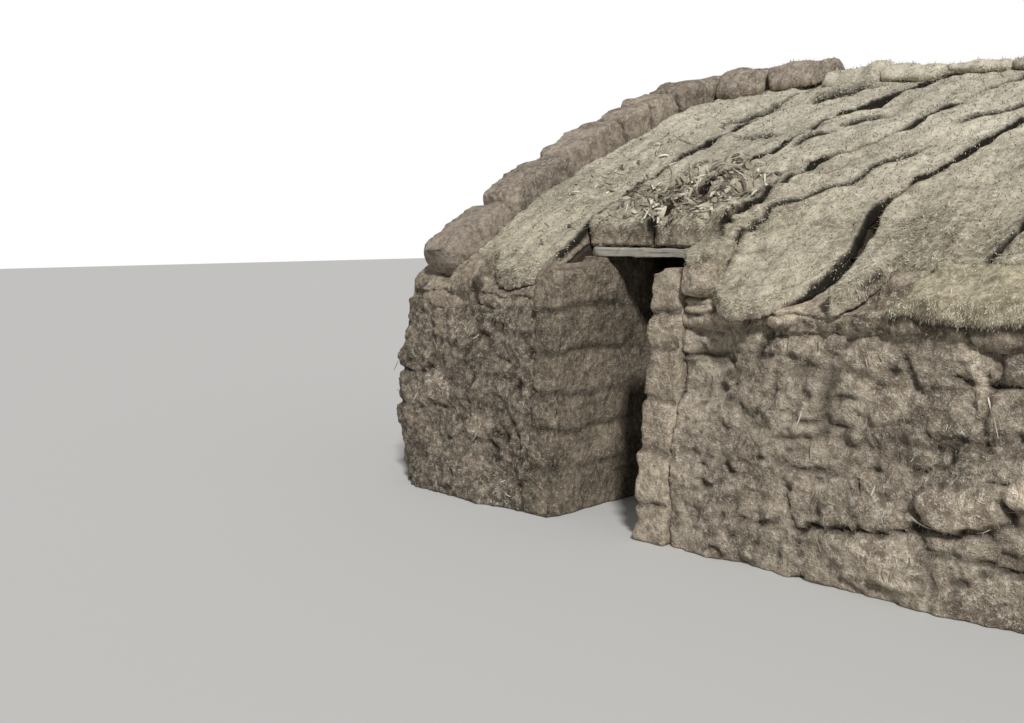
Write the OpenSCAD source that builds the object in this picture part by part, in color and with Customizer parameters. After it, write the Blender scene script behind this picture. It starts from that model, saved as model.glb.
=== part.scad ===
// Turf house: thick walls of stacked sods, and a low bowed roof of long sod strips
// laid over brushwood, purlins, bent rafters and a ridge beam.
// Millimetres. The origin is at ground level in the middle of the footprint.
// X runs along the front, Y into the house and Z up. The doorway faces -Y.

/* [House] */
// Length over the end walls, at the eave
house_length = 6400; // [5600:50:7800]
// Width over the front and back walls, at the wall head
house_width = 5300; // [4800:50:6200]
// Height of the roof surface above the wall face
eave_height = 1270; // [1240:10:1500]
// Height of the roof surface at the ridge
ridge_height = 2440; // [2300:10:2900]
// Height by which each slope bows above a straight line
roof_bow = 117; // [90:1:150]

/* [Walls] */
// Thickness of the front and back walls at the head
side_wall_thickness = 800; // [650:10:950]
// Thickness of the end walls at the head
end_wall_thickness = 750; // [600:10:900]
// Depth of the flat wall top below the roof surface at the eave
head_depth = 195; // [175:5:320]
// How far the foot stands out beyond the head
foot_spread = 150; // [80:5:200]
// Height of the widest part of the end walls
belly_height = 620; // [400:10:800]
// How far the end walls swell beyond their foot
belly_swell = 110; // [0:1:130]
// How far the end walls stand out under the eave
end_head_reach = 220; // [60:5:260]
// Height at which the gables rise from that shelf
gable_foot_height = 1500; // [1400:10:1700]
// How far the gables stand out there
gable_foot_reach = 40; // [0:5:80]
// How far the gables lean in above it
gable_lean = 40; // [0:5:100]
// Radius of the corners in plan
corner_radius = 300; // [220:10:500]
// How far the head course stands out from the wall face
head_overhang = 75; // [30:5:110]

/* [Doorway] */
// Middle of the doorway, from the middle of the front
door_centre = -1745; // [-1900:5:-1600]
// Clear width between the jambs
door_width = 590; // [520:5:680]
// Height from the ground to the underside of the lintels
door_height = 1340; // [1250:5:1380]
// Width of each stacked sod jamb
jamb_width = 170; // [130:5:220]
// How far the jambs stand out from the wall face at their top
jamb_proud = 30; // [0:5:60]
// How far the jambs stay below the lintel in front of it
jamb_front_drop = 30; // [0:5:120]
// Thickness of the lintel slab and of the poles behind it
lintel_thickness = 50; // [40:1:60]
// Depth of the lintel slab, front to back
lintel_depth = 240; // [180:5:300]
// How far the lintel slab stands out under the cut roof sods
lintel_proud = 45; // [20:5:80]
// Clearance at each end of the lintels
lintel_end_gap = 10; // [5:1:20]
// Number of split poles behind the lintel slab
inner_lintel_count = 2; // [2:1:3]
// Width of one split pole
inner_lintel_width = 116; // [90:2:130]

/* [Roof frame] */
// Thickness of the roof sods
sod_thickness = 90; // [70:5:110]
// Thickness of the brushwood layer
brushwood_thickness = 45; // [30:1:60]
// Diameter of the purlins
purlin_diameter = 80; // [60:2:100]
// Width of the bent, rough-hewn rafters
rafter_width = 100; // [80:2:120]
// Depth of the rafters
rafter_depth = 110; // [90:2:130]
// Distance between rafter pairs
rafter_spacing = 1100; // [950:10:1300]
// Distance from the doorway's jamb to the nearest rafter
rafter_door_gap = 130; // [80:5:300]
// Gap between the rafter feet and the head course in front of them
rafter_foot_gap = 12; // [8:1:30]
// Diameter of the ridge beam
ridge_beam_diameter = 130; // [110:2:160]
// How far the long timbers run into each end wall
timber_bearing = 500; // [350:10:550]
// Free space round a timber in its pocket
pocket_gap = 6; // [3:1:10]
// Gap between round timbers and what they lie on
seat_gap = 0.3; // [0.2:0.1:0.8]

/* [Roof sods] */
// Gap between neighbouring roof sods
crack_width = 14; // [8:1:24]
// Width of the one wide crack on the front
wide_crack = 44; // [24:1:60]
// Side to side wander of the cracks
crack_wander = 28; // [0:1:45]
// Width of the grassy ledge in front of the roof sods
ledge_width = 225; // [160:5:260]
// Width of the peat blocks along each verge
verge_width = 320; // [240:5:380]
// Height of the verge blocks above the roof sods
verge_rise = 155; // [60:5:180]
// Gap between neighbouring verge blocks and ridge sods
block_gap = 12; // [6:1:20]
// Length of one ridge sod
ridge_sod_length = 400; // [300:10:600]
// Width of a ridge sod across the ridge
ridge_sod_width = 460; // [360:10:560]
// Height of the thick peat blocks near the doorway end of the ridge
ridge_block_rise = 150; // [100:5:190]
// Height of a middling ridge sod of the others
ridge_sod_rise = 60; // [40:5:65]
// Number of thick blocks on the ridge
ridge_block_count = 2; // [0:1:6]

/* [Hidden] */
// Flat facets on each slope between the ridge and the eave
slope_facets = 10;
// Facets that the brushwood covers, counted from the ridge
brushwood_facets = 8;
// Facets on which the purlins lie, counted from the ridge
purlin_facets = [0, 2, 4, 6];
// Roof facets drawn beyond the eave, for sods that hang over the wall
spare_facets = 2;

// Where the cracks between the front sods meet the eave, as shares of the roof length
front_shares = [0, 0.114, 0.187, 0.278, 0.393, 0.507, 0.622, 0.737, 0.85, 1];
// How far each of those cracks has moved to the right when it reaches the ridge
front_skews = [0, 250, 620, 820, 870, 880, 880, 880, 880, 0];
// Hanging tongue of each front sod: start and end across its width, and its reach
front_tongues = [[0.3, 1, 170], [0, 1, 0], [0, 1, 0], [0.12, 1, 290], [0, 0.3, 235],
    [0, 1, 0], [0, 1, 0], [0, 1, 0], [0, 1, 0]];
back_shares = [0, 0.105, 0.218, 0.33, 0.44, 0.556, 0.667, 0.775, 0.889, 1];
back_skews = [0, 190, 330, 400, 420, 380, 400, 360, 300, 0];
// How late the cracks bend over on their way up
skew_power = 1.6;
// Bends of the cracks beside the doorway: place from eave (0) to ridge (1), and shift to the right
front_bends = [[], [],
    [[0.3, 0], [0.41, 135], [0.47, 109], [0.62, 12], [0.7, 80], [0.83, 56], [1, 0]],
    [[0, 0], [0.11, -55], [0.155, -80], [0.2, -14], [0.264, -59], [0.317, -110],
     [0.377, -74], [0.44, 7], [0.49, 95], [0.555, 70], [0.75, 20], [1, 0]],
    [[-0.06, -40], [0, 36], [0.04, 80], [0.128, 34], [0.215, -78], [0.262, -77],
     [0.3, -10], [0.35, -4], [0.42, 12], [0.6, 20], [1, 0]],
    [], [], [], [], []];
// Number of the crack on the front that gapes
wide_crack_number = 4;
// Thickness of the verge blocks over the roof as shares of the most, by their number from the ridge
verge_shares = [[0, 0.9], [1, 1], [4, 1], [6, 0.68]];
// Height of each other ridge sod as a share of a middling one, by its number from the doorway end
ridge_shares = [[2, 1.8], [3, 0.9], [4, 0.4], [5, 0.4], [8, 0.5], [10, 1]];
// Free height between the lintels and the roof layers that are cut back over them
roof_clearance = 5;
// Points along each side of a sod and across its lower end
edge_steps = 20;
tongue_steps = 12;
// Bluntness of a hanging tongue
tongue_power = 0.55;
// Waves of a crack between the eave and the ridge, in degrees, and their shift
wave_turn = 620;
wave_shift = 77;
// Number of rafters on each slope
rafter_count = 3;
// Edges of a ridge sod: side face, sloped shoulder and flat top, as shares of its size
ridge_side_share = 0.45;
ridge_shoulder_share = 0.72;
ridge_top_share = 0.3;

half_length = house_length / 2;
half_width = house_width / 2;
wall_height = eave_height - head_depth;
inner_x = half_length - end_wall_thickness;
inner_y = half_width - side_wall_thickness;
roof_end = half_length - verge_width;
roof_length = 2 * roof_end;
timber_end = inner_x + timber_bearing;

slope_rise = ridge_height - eave_height;
slope_chord = norm([half_width, slope_rise]);
roof_radius = (slope_chord * slope_chord / 4 + roof_bow * roof_bow) / (2 * roof_bow);
slope_angle = atan2(slope_rise, half_width);
half_sweep = asin(slope_chord / 2 / roof_radius);
ridge_angle = slope_angle - half_sweep;
facet_angle = 2 * half_sweep / slope_facets;
centre_y = roof_radius * sin(ridge_angle);
centre_z = ridge_height - roof_radius * cos(ridge_angle);

frame_depth = sod_thickness + brushwood_thickness;
purlin_radius = purlin_diameter / 2;
ridge_beam_radius = ridge_beam_diameter / 2;
// Distances from the centre of the slope's arc to the purlins' axes and the rafters' faces
purlin_orbit = (roof_radius - frame_depth) * cos(facet_angle / 2) - seat_gap - purlin_radius;
rafter_top_orbit = purlin_orbit - purlin_radius - seat_gap;
rafter_under_orbit = rafter_top_orbit - rafter_depth;
top_facet_turn = ridge_angle + facet_angle / 2;
ridge_beam_z = centre_z + (rafter_under_orbit - seat_gap - ridge_beam_radius
    - centre_y * sin(top_facet_turn)) / cos(top_facet_turn);

door_left = door_centre - door_width / 2;
door_right = door_centre + door_width / 2;
jamb_left = door_left - jamb_width;
jamb_right = door_right + jamb_width;
lintel_top = door_height + lintel_thickness;
rafter_places = [for (i = [0:rafter_count - 1])
    jamb_right + rafter_door_gap + rafter_width / 2 + i * rafter_spacing];
front_sod_count = len(front_tongues);
back_sod_count = len(back_shares) - 1;
ledge_y = half_width + head_overhang - ledge_width;
ridge_gap = crack_width / 4;
far = 2 * (house_length + house_width);

// Points of the roof line, as [y, z] on the front slope
function facet_turn(i) = ridge_angle + i * facet_angle;
function arc_point(depth, i) =
    [centre_y - (roof_radius - depth) * sin(facet_turn(i)),
     centre_z + (roof_radius - depth) * cos(facet_turn(i))];
function crossing_z(a, b, y) = a[1] + (b[1] - a[1]) * (y - a[0]) / (b[0] - a[0]);
function ridge_point(depth) = [0, crossing_z(arc_point(depth, 0), arc_point(depth, 1), 0)];
function roof_line(depth, last) =
    concat([ridge_point(depth)], [for (i = [1:last]) arc_point(depth, i)]);
function backwards(points) = [for (i = [len(points) - 1:-1:0]) points[i]];
function swapped(points) = [for (p = points) [-p[0], p[1]]];

// Where the surface at a depth crosses a height, as a distance in front of the ridge
function reach_at(depth, z) =
    sqrt(pow((roof_radius - depth) * cos(facet_angle / 2), 2) - pow(z - centre_z, 2)) - centre_y;
// The roof sods over the doorway are cut where their underside clears the lintel
recess_y = reach_at(sod_thickness, lintel_top) - roof_clearance;
lintel_front = -recess_y - lintel_proud;
lintel_back = lintel_front + lintel_depth;
// Inner face of the wall beside and over the doorway
doorway_back = max(-inner_y, lintel_back + inner_lintel_count * inner_lintel_width);

head_back = arc_point(frame_depth, brushwood_facets);
// Floor of the pockets that hold the rafter feet
rafter_seat_z = centre_z
    + sqrt(pow(rafter_top_orbit, 2) - pow(centre_y - head_back[0] - rafter_foot_gap, 2));

module along_x(from, to)
    translate([from, 0, 0]) rotate([90, 0, 90]) linear_extrude(to - from) children();

module block(from, to)
    translate(from) cube(to - from);

module timber(radius, y, z, reach)
    translate([-reach, y, z]) rotate([0, 90, 0]) cylinder(r = radius, h = 2 * reach);

// Outer form of the wall mass: leaning faces and rounded corners
wall_levels = [
    [0, half_length + foot_spread, half_width + foot_spread],
    [belly_height, half_length + foot_spread + belly_swell, half_width + foot_spread / 2],
    [wall_height, half_length + end_head_reach, half_width],
    [gable_foot_height, half_length + gable_foot_reach, half_width],
    [2 * ridge_height, half_length - gable_lean, half_width]];
head_levels = [
    [0, half_length + end_head_reach, half_width + head_overhang],
    [wall_height, half_length + end_head_reach, half_width + head_overhang],
    [gable_foot_height, half_length + gable_foot_reach, half_width + head_overhang],
    [ridge_height + 2 * verge_rise, half_length, half_width + head_overhang]];
corner_turns = [0, 30, 60, 90, 120, 150];

function level_reach(level, turn) =
    (level[1] - corner_radius) * abs(cos(turn))
    + (level[2] - corner_radius) * abs(sin(turn)) + corner_radius;

module rounded_form(levels)
    intersection_for (turn = corner_turns)
        rotate([90, 0, turn])
            linear_extrude(far, center = true)
                polygon(concat(
                    [for (level = levels) [level_reach(level, turn), level[0]]],
                    [for (level = backwards(levels)) [-level_reach(level, turn), level[0]]]));

// Section of the front wall: flat top for the head course, then the slope of the roof
module side_wall_section()
    polygon(concat([[-far, 0], [-far, wall_height], [head_back[0], wall_height]],
        backwards(roof_line(frame_depth, brushwood_facets)), [[0, 0]]));

// Section of the head course, under the roof sods and out to its front face
head_front = -half_width - head_overhang;
module head_section()
    polygon(concat([[head_back[0], wall_height], head_back],
        [for (i = [brushwood_facets:slope_facets]) arc_point(sod_thickness, i)],
        [[head_front, crossing_z(arc_point(sod_thickness, slope_facets),
                                 arc_point(sod_thickness, slope_facets + 1), head_front)],
         [head_front, wall_height]]));

module rafter_pockets()
    for (x = rafter_places)
        block([x - rafter_width / 2 - pocket_gap, head_back[0], rafter_seat_z],
              [x + rafter_width / 2 + pocket_gap, 0, ridge_height]);

module side_wall(from, to)
    color([0.36, 0.30, 0.24])
        difference() {
            intersection() {
                rounded_form(wall_levels);
                along_x(from, to) side_wall_section();
                block([-far, -far, 0], [far, -inner_y, ridge_height]);
            }
            rafter_pockets();
            purlin_pockets();
        }

module end_wall(side)
    color([0.38, 0.32, 0.26])
        difference() {
            intersection() {
                rounded_form(wall_levels);
                along_x(side > 0 ? inner_x : -far, side > 0 ? far : -inner_x)
                    polygon(concat(backwards(roof_line(frame_depth, brushwood_facets)),
                        swapped([for (i = [1:brushwood_facets]) arc_point(frame_depth, i)]),
                        [[-head_back[0], 0], [head_back[0], 0]]));
                block([-far, -inner_y, 0], [far, inner_y, ridge_height]);
            }
            timber(ridge_beam_radius + seat_gap, 0, ridge_beam_z, timber_end + pocket_gap);
            purlin_pockets();
            mirror([0, 1, 0]) purlin_pockets();
        }

// The open slots in the gables that the purlins lie in
module purlin_pockets()
    for (i = purlin_facets)
        translate([0, centre_y, centre_z]) rotate([facet_turn(i + 0.5), 0, 0])
            union() {
                timber(purlin_radius + seat_gap, 0, purlin_orbit, timber_end + pocket_gap);
                block([-timber_end - pocket_gap, -purlin_radius - seat_gap, purlin_orbit],
                      [timber_end + pocket_gap, purlin_radius + seat_gap,
                       purlin_orbit + 2 * purlin_radius]);
            }

module purlins()
    color([0.45, 0.36, 0.27])
        for (i = purlin_facets)
            translate([0, centre_y, centre_z]) rotate([facet_turn(i + 0.5), 0, 0])
                timber(purlin_radius, 0, purlin_orbit, timber_end);

module ridge_beam()
    color([0.42, 0.33, 0.25])
        timber(ridge_beam_radius, 0, ridge_beam_z, timber_end);

// A bent timber that follows the slope, cut level at its foot and plumb at its head
function orbit_point(orbit, i) =
    [centre_y - orbit / cos(facet_angle / 2) * sin(facet_turn(i)),
     centre_z + orbit / cos(facet_angle / 2) * cos(facet_turn(i))];

module rafter(i)
    color([0.44, 0.35, 0.26])
        intersection() {
            along_x(rafter_places[i - 1] - rafter_width / 2,
                    rafter_places[i - 1] + rafter_width / 2)
                polygon(concat(
                    [for (i = [-1:slope_facets]) orbit_point(rafter_top_orbit, i)],
                    [for (i = [slope_facets:-1:-1]) orbit_point(rafter_under_orbit, i)]));
            block([-far, -far, rafter_seat_z], [far, -seat_gap / 2, far]);
        }

module brushwood()
    color([0.40, 0.33, 0.24])
        intersection() {
            along_x(-roof_end, roof_end)
                polygon(concat(roof_line(sod_thickness, brushwood_facets),
                    backwards(roof_line(frame_depth, brushwood_facets))));
            block([-far, -far, 0], [far, -ridge_gap, far]);
        }

// The brushwood is cut back where it would foul the lintels
module front_brushwood()
    difference() {
        brushwood();
        block([jamb_left, -far, 0],
              [jamb_right, roof_clearance - reach_at(frame_depth, lintel_top), lintel_top + far]);
    }

module jamb(from)
    color([0.40, 0.34, 0.27])
        along_x(from, from + jamb_width)
            polygon([[-half_width - foot_spread, 0],
                [-half_width - foot_spread / 2, belly_height],
                [-half_width - jamb_proud, door_height - jamb_front_drop],
                [lintel_front, door_height - jamb_front_drop], [lintel_front, door_height],
                [doorway_back, door_height], [doorway_back, 0]]);

module door_lintel()
    color([0.66, 0.63, 0.57])
        intersection() {
            block([jamb_left + lintel_end_gap, lintel_front, door_height],
                  [jamb_right - lintel_end_gap, lintel_back, lintel_top]);
            // The ends are rounded in plan
            union() {
                for (x = [jamb_left + lintel_end_gap, jamb_right - lintel_end_gap - lintel_depth])
                    translate([x + lintel_depth / 2, lintel_front + lintel_depth / 2, door_height])
                        cylinder(d = lintel_depth, h = lintel_thickness);
                block([jamb_left + lintel_end_gap + lintel_depth / 2, lintel_front, door_height],
                      [jamb_right - lintel_end_gap - lintel_depth / 2, lintel_back, lintel_top]);
            }
        }

// Split poles with their flat side up
module inner_lintels() {
    pole_radius = (inner_lintel_width - seat_gap) / 2;
    color([0.46, 0.37, 0.28])
        for (i = [0:inner_lintel_count - 1])
            intersection() {
                translate([jamb_left + lintel_end_gap, lintel_back + (i + 0.5) * inner_lintel_width,
                           door_height + pole_radius])
                    rotate([0, 90, 0])
                        cylinder(r = pole_radius,
                                 h = jamb_right - jamb_left - 2 * lintel_end_gap);
                block([-far, -far, 0], [far, 0, lintel_top]);
            }
}

module wall_over_door()
    color([0.34, 0.28, 0.22])
        difference() {
            intersection() {
                union() {
                    along_x(jamb_left, jamb_right) side_wall_top();
                    along_x(jamb_left, jamb_right) head_section();
                }
                block([-far, -recess_y, lintel_top], [far, doorway_back, ridge_height]);
            }
            rafter_pockets();
            purlin_pockets();
        }

module side_wall_top()
    polygon(concat([[head_back[0], wall_height]],
        backwards(roof_line(frame_depth, brushwood_facets)), [[0, wall_height]]));

// How far a crack wanders from its even line
function crack_bend(k, t, shares) =
    shares == front_shares && len(front_bends[k]) > 0 ? lookup(t, front_bends[k])
    : crack_wander * sin(wave_turn * t + wave_shift * k) * sin(180 * max(0, t));

// One sod strip of the roof, seen from above
function strip_edge(k, t, shares, skews, side) =
    -roof_end + shares[k] * roof_length + skews[k] * pow(max(0, t), skew_power)
    + (k == 0 || k == len(shares) - 1 ? 0
       : crack_bend(k, t, shares)
         + side * (k == wide_crack_number && shares == front_shares
                   ? wide_crack : crack_width) / 2);

function tongue_drop(u, tongue) =
    u <= tongue[0] || u >= tongue[1] || tongue[2] == 0 ? 0
    : tongue[2] * pow(sin(180 * (u - tongue[0]) / (tongue[1] - tongue[0])), tongue_power);

function place_at(y) = (half_width - y) / half_width;
// Lower end of the sods, just above the ledge
body_end_y = ledge_y - crack_width;

// Upper points of one side of a sod, from its lower end to the ridge
function side_points(k, shares, skews, side) =
    [for (i = [0:edge_steps])
        let (y = body_end_y + (ridge_gap - body_end_y) * i / edge_steps)
        [strip_edge(k, place_at(y), shares, skews, side), -y]];

// Points across a hanging tongue, from right to left
function tongue_points(k, shares, skews, tongue) =
    tongue[2] == 0 ? []
    : [for (i = [tongue[1] == 1 ? 1 : 0:tongue_steps - (tongue[0] == 0 ? 1 : 0)])
        let (u = tongue[1] - (tongue[1] - tongue[0]) * i / tongue_steps,
             y = body_end_y + tongue_drop(u, tongue),
             left = strip_edge(k - 1, place_at(y), shares, skews, 1),
             right = strip_edge(k, place_at(y), shares, skews, -1))
        [left + (right - left) * u, -y]];

module strip_plan(k, shares, skews, tongue)
    polygon(concat(side_points(k - 1, shares, skews, 1),
        backwards(side_points(k, shares, skews, -1)),
        tongue_points(k, shares, skews, tongue)));

module doorway_recess()
    block([jamb_left - lintel_end_gap, -far, 0], [jamb_right + lintel_end_gap, -recess_y, far]);

module roof_sod(k, shares, skews, tongue)
    intersection() {
        along_x(-roof_end, roof_end)
            polygon(concat(roof_line(0, slope_facets + spare_facets),
                backwards(roof_line(sod_thickness, slope_facets + spare_facets))));
        linear_extrude(far) strip_plan(k, shares, skews, tongue);
    }

module front_roof_sod(k)
    color(k % 2 == 0 ? [0.55, 0.52, 0.40] : [0.58, 0.54, 0.42])
        difference() {
            roof_sod(k, front_shares, front_skews, front_tongues[k - 1]);
            doorway_recess();
        }

module back_roof_sod(k)
    color(k % 2 == 0 ? [0.56, 0.53, 0.41] : [0.53, 0.50, 0.38])
        rotate([0, 0, 180]) roof_sod(k, back_shares, back_skews, [0, 1, 0]);

// The head course on a wall, with a grassy ledge in front of the roof sods
module head_course(from, to, ledge_from, ledge_to)
    color([0.50, 0.48, 0.35])
        intersection() {
            rounded_form(head_levels);
            union() {
                along_x(from, to) head_section();
                intersection() {
                    along_x(ledge_from, ledge_to)
                        polygon(concat(
                            [for (i = [brushwood_facets:slope_facets + spare_facets])
                                arc_point(0, i)],
                            [for (i = [slope_facets + spare_facets:-1:brushwood_facets])
                                arc_point(sod_thickness, i)]));
                    block([-far, -far, 0], [far, -ledge_y, far]);
                }
            }
        }

// Ledge ends beside the sods that hang over the wall
function front_edge(k, u) =
    let (t = place_at(body_end_y),
         left = strip_edge(k - 1, t, front_shares, front_skews, 1),
         right = strip_edge(k, t, front_shares, front_skews, -1))
    left + (right - left) * u;
left_ledge_end = front_edge(1, front_tongues[0][0]) - crack_width;
right_ledge_start = front_edge(5, front_tongues[4][1]) + crack_width;

module front_head_left()
    head_course(-far, jamb_left, -roof_end, left_ledge_end);
module front_head_right()
    head_course(jamb_right, far, right_ledge_start, roof_end);
module back_head()
    rotate([0, 0, 180]) head_course(-far, far, -roof_end, roof_end);

// The blocks are thinner towards the eave
function block_rise(i) = verge_rise * lookup(i, verge_shares);

// Peat blocks on the gable, one to a facet, with a gap between neighbours
module verge_block(i) {
    bottom = i < brushwood_facets ? frame_depth : sod_thickness;
    // Half of the gap, as a part of one facet
    step = block_gap / 2 / (roof_radius * facet_angle * PI / 180);
    start = i == 0
        ? [for (depth = [bottom, -block_rise(i)]) ridge_point(depth)
              + [-block_gap / 2, -block_gap / 2 * tan(facet_turn(0.5))]]
        : [for (depth = [bottom, -block_rise(i)]) arc_point(depth, i + step)];
    along_x(roof_end + crack_width, half_length)
        polygon(concat(start,
            [arc_point(-block_rise(i), i + 1 - step), arc_point(bottom, i + 1 - step)]));
}

module verge_blocks()
    color([0.22, 0.18, 0.15])
        intersection() {
            rounded_form(head_levels);
            for (i = [0:slope_facets - 1]) {
                verge_block(i);
                mirror([0, 1, 0]) verge_block(i);
            }
        }

// Saddle sods over the ridge, between the verges
module ridge_sods() {
    count = floor(roof_length / ridge_sod_length);
    pitch = roof_length / count;
    half = ridge_sod_width / 2;
    low = crossing_z(arc_point(0, 0), arc_point(0, 1), -half);
    for (i = [0:count - 1]) {
        rise = i < ridge_block_count ? ridge_block_rise
            : ridge_sod_rise * lookup(i, ridge_shares);
        left = -roof_end + i * pitch;
        front_side = [[-half, low], [-half, low + rise * ridge_side_share],
            [-half * ridge_shoulder_share, ridge_height + rise * ridge_shoulder_share],
            [-half * ridge_top_share, ridge_height + rise]];
        color(i < ridge_block_count ? [0.24, 0.20, 0.17] : [0.46, 0.43, 0.32])
            along_x(left + block_gap / 2, left + pitch - block_gap / 2)
                polygon(concat([[0, ridge_height]], front_side, swapped(backwards(front_side))));
    }
}

side_wall(-far, jamb_left);  // front_wall_left
side_wall(jamb_right, far);  // front_wall_right
wall_over_door();
mirror([0, 1, 0]) side_wall(-far, far);  // back_wall
end_wall(-1);  // left_end_wall
end_wall(1);  // right_end_wall
jamb(jamb_left);  // left_jamb
jamb(door_right);  // right_jamb
door_lintel();
inner_lintels();
front_head_left();
front_head_right();
back_head();
ridge_beam();
purlins();  // front_purlins
mirror([0, 1, 0]) purlins();  // back_purlins
front_brushwood();
mirror([0, 1, 0]) brushwood();  // back_brushwood
for (i = [1:rafter_count]) {
    rafter(i);
    mirror([0, 1, 0]) rafter(i);
}
for (k = [1:front_sod_count])
    front_roof_sod(k);
for (k = [1:back_sod_count])
    back_roof_sod(k);
mirror([1, 0, 0]) verge_blocks();  // left_verge_blocks
verge_blocks();  // right_verge_blocks
ridge_sods();
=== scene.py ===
# Turf house: thick walls of stacked sods under a low roof of long grassy sod strips.
# Metres. The doorway faces -Y, and the ground is at z = 0.
import math

import bpy
import numpy as np
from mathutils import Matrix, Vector


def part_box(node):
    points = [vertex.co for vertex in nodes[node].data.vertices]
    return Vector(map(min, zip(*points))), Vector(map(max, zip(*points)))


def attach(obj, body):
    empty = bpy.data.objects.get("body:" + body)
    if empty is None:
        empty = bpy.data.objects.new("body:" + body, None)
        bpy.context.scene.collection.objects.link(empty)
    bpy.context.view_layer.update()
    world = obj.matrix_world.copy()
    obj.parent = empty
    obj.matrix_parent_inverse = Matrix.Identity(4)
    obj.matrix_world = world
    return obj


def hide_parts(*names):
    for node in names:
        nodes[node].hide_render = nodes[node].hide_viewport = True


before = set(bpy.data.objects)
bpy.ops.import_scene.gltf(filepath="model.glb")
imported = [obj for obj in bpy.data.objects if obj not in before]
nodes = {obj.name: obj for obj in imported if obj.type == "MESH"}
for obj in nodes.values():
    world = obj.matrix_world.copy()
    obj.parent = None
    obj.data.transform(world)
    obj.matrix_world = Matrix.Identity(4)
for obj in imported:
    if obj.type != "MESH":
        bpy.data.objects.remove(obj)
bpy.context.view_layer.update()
scene = bpy.context.scene

# The setting: a plain pale floor and a white background, one broad soft light from the right in
# front, and an even sky. The camera looks along the front from beyond the right side of the door.
camera_place = (1.95, -7.03, 1.5)
camera_heading = 45.0
camera_dip = 6.7
photo_width_px = 1024
focal_px = 1150
sensor_width_mm = 36.0
light_from = Vector((0.76, -0.64, 0.78))
light_strength = 3.5
light_softness = math.radians(7)
sky_strength = 0.40
floor_half = 40.0
floor_drop = 0.002
floor_tone = (0.50, 0.49, 0.47, 1.0)


def put(name, data):
    thing = bpy.data.objects.new(name, data)
    scene.collection.objects.link(thing)
    return thing


lens = bpy.data.cameras.new("View")
lens.sensor_width = sensor_width_mm
lens.lens = focal_px * sensor_width_mm / photo_width_px
lens.clip_end = 200.0
camera = put("View", lens)
camera.location = camera_place
camera.rotation_euler = (math.radians(90 - camera_dip), 0, math.radians(camera_heading))
scene.camera = camera

sun = bpy.data.lights.new("Broad light", "SUN")
sun.energy = light_strength
sun.angle = light_softness
sun_lamp = put("Broad light", sun)
sun_lamp.rotation_euler = light_from.to_track_quat("Z", "Y").to_euler()

world = bpy.data.worlds.new("Even sky")
world.use_nodes = True
sky = world.node_tree.nodes
sky.clear()
sky_light = sky.new("ShaderNodeBackground")
sky_light.inputs["Color"].default_value = (0.95, 0.97, 1.0, 1.0)
sky_light.inputs["Strength"].default_value = sky_strength
sky_white = sky.new("ShaderNodeBackground")
sky_white.inputs["Color"].default_value = (1.0, 1.0, 1.0, 1.0)
sky_ray = sky.new("ShaderNodeLightPath")
sky_mix = sky.new("ShaderNodeMixShader")
sky_out = sky.new("ShaderNodeOutputWorld")
world.node_tree.links.new(sky_ray.outputs["Is Camera Ray"], sky_mix.inputs["Fac"])
world.node_tree.links.new(sky_light.outputs["Background"], sky_mix.inputs[1])
world.node_tree.links.new(sky_white.outputs["Background"], sky_mix.inputs[2])
world.node_tree.links.new(sky_mix.outputs["Shader"], sky_out.inputs["Surface"])
scene.world = world
scene.view_settings.view_transform = "Standard"

floor_mesh = bpy.data.meshes.new("Floor")
floor_mesh.from_pydata([(-floor_half, -floor_half, 0), (floor_half, -floor_half, 0),
                        (floor_half, floor_half, 0), (-floor_half, floor_half, 0)],
                       [], [(0, 1, 2, 3)])
floor = put("Floor", floor_mesh)
floor.location.z = -floor_drop
floor_finish = bpy.data.materials.new("Pale floor")
floor_finish.use_nodes = True
floor_shader = floor_finish.node_tree.nodes["Principled BSDF"]
floor_shader.inputs["Base Color"].default_value = floor_tone
floor_shader.inputs["Roughness"].default_value = 0.9
floor_mesh.materials.append(floor_finish)

# The walls are courses of cut sods, laid without mortar. They have slumped and weathered into
# one fibrous mass, with open joints, crumbled edges and a foot that spreads over the ground.
wall_grain = 0.0155
end_wall_grain = 0.029
course_height = 0.235
sod_length = 0.50
# Height, half length and half width of the walls' outer faces
wall_levels = np.array([[0, 3.35, 2.80], [0.62, 3.46, 2.725], [1.075, 3.42, 2.65],
                        [1.50, 3.24, 2.65], [4.88, 3.16, 2.65]])
corner_radius = 0.30
# The front's outer face has a y below this
front_limit = -2.2
# Places on the front where the face stands out or falls back: x, z, half sizes, depth
front_swells = [(-1.10, 0.92, 0.16, 0.26, -0.05), (-0.22, 0.20, 0.20, 0.10, 0.045),
                (-0.75, 0.30, 0.25, 0.20, -0.03), (0.45, 0.25, 0.16, 0.12, -0.035),
                (-2.62, 0.70, 0.35, 0.30, 0.04), (0.15, 0.43, 0.14, 0.06, 0.035),
                (1.1, 0.62, 0.3, 0.22, -0.03), (2.1, 0.35, 0.35, 0.22, 0.035)]
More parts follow.
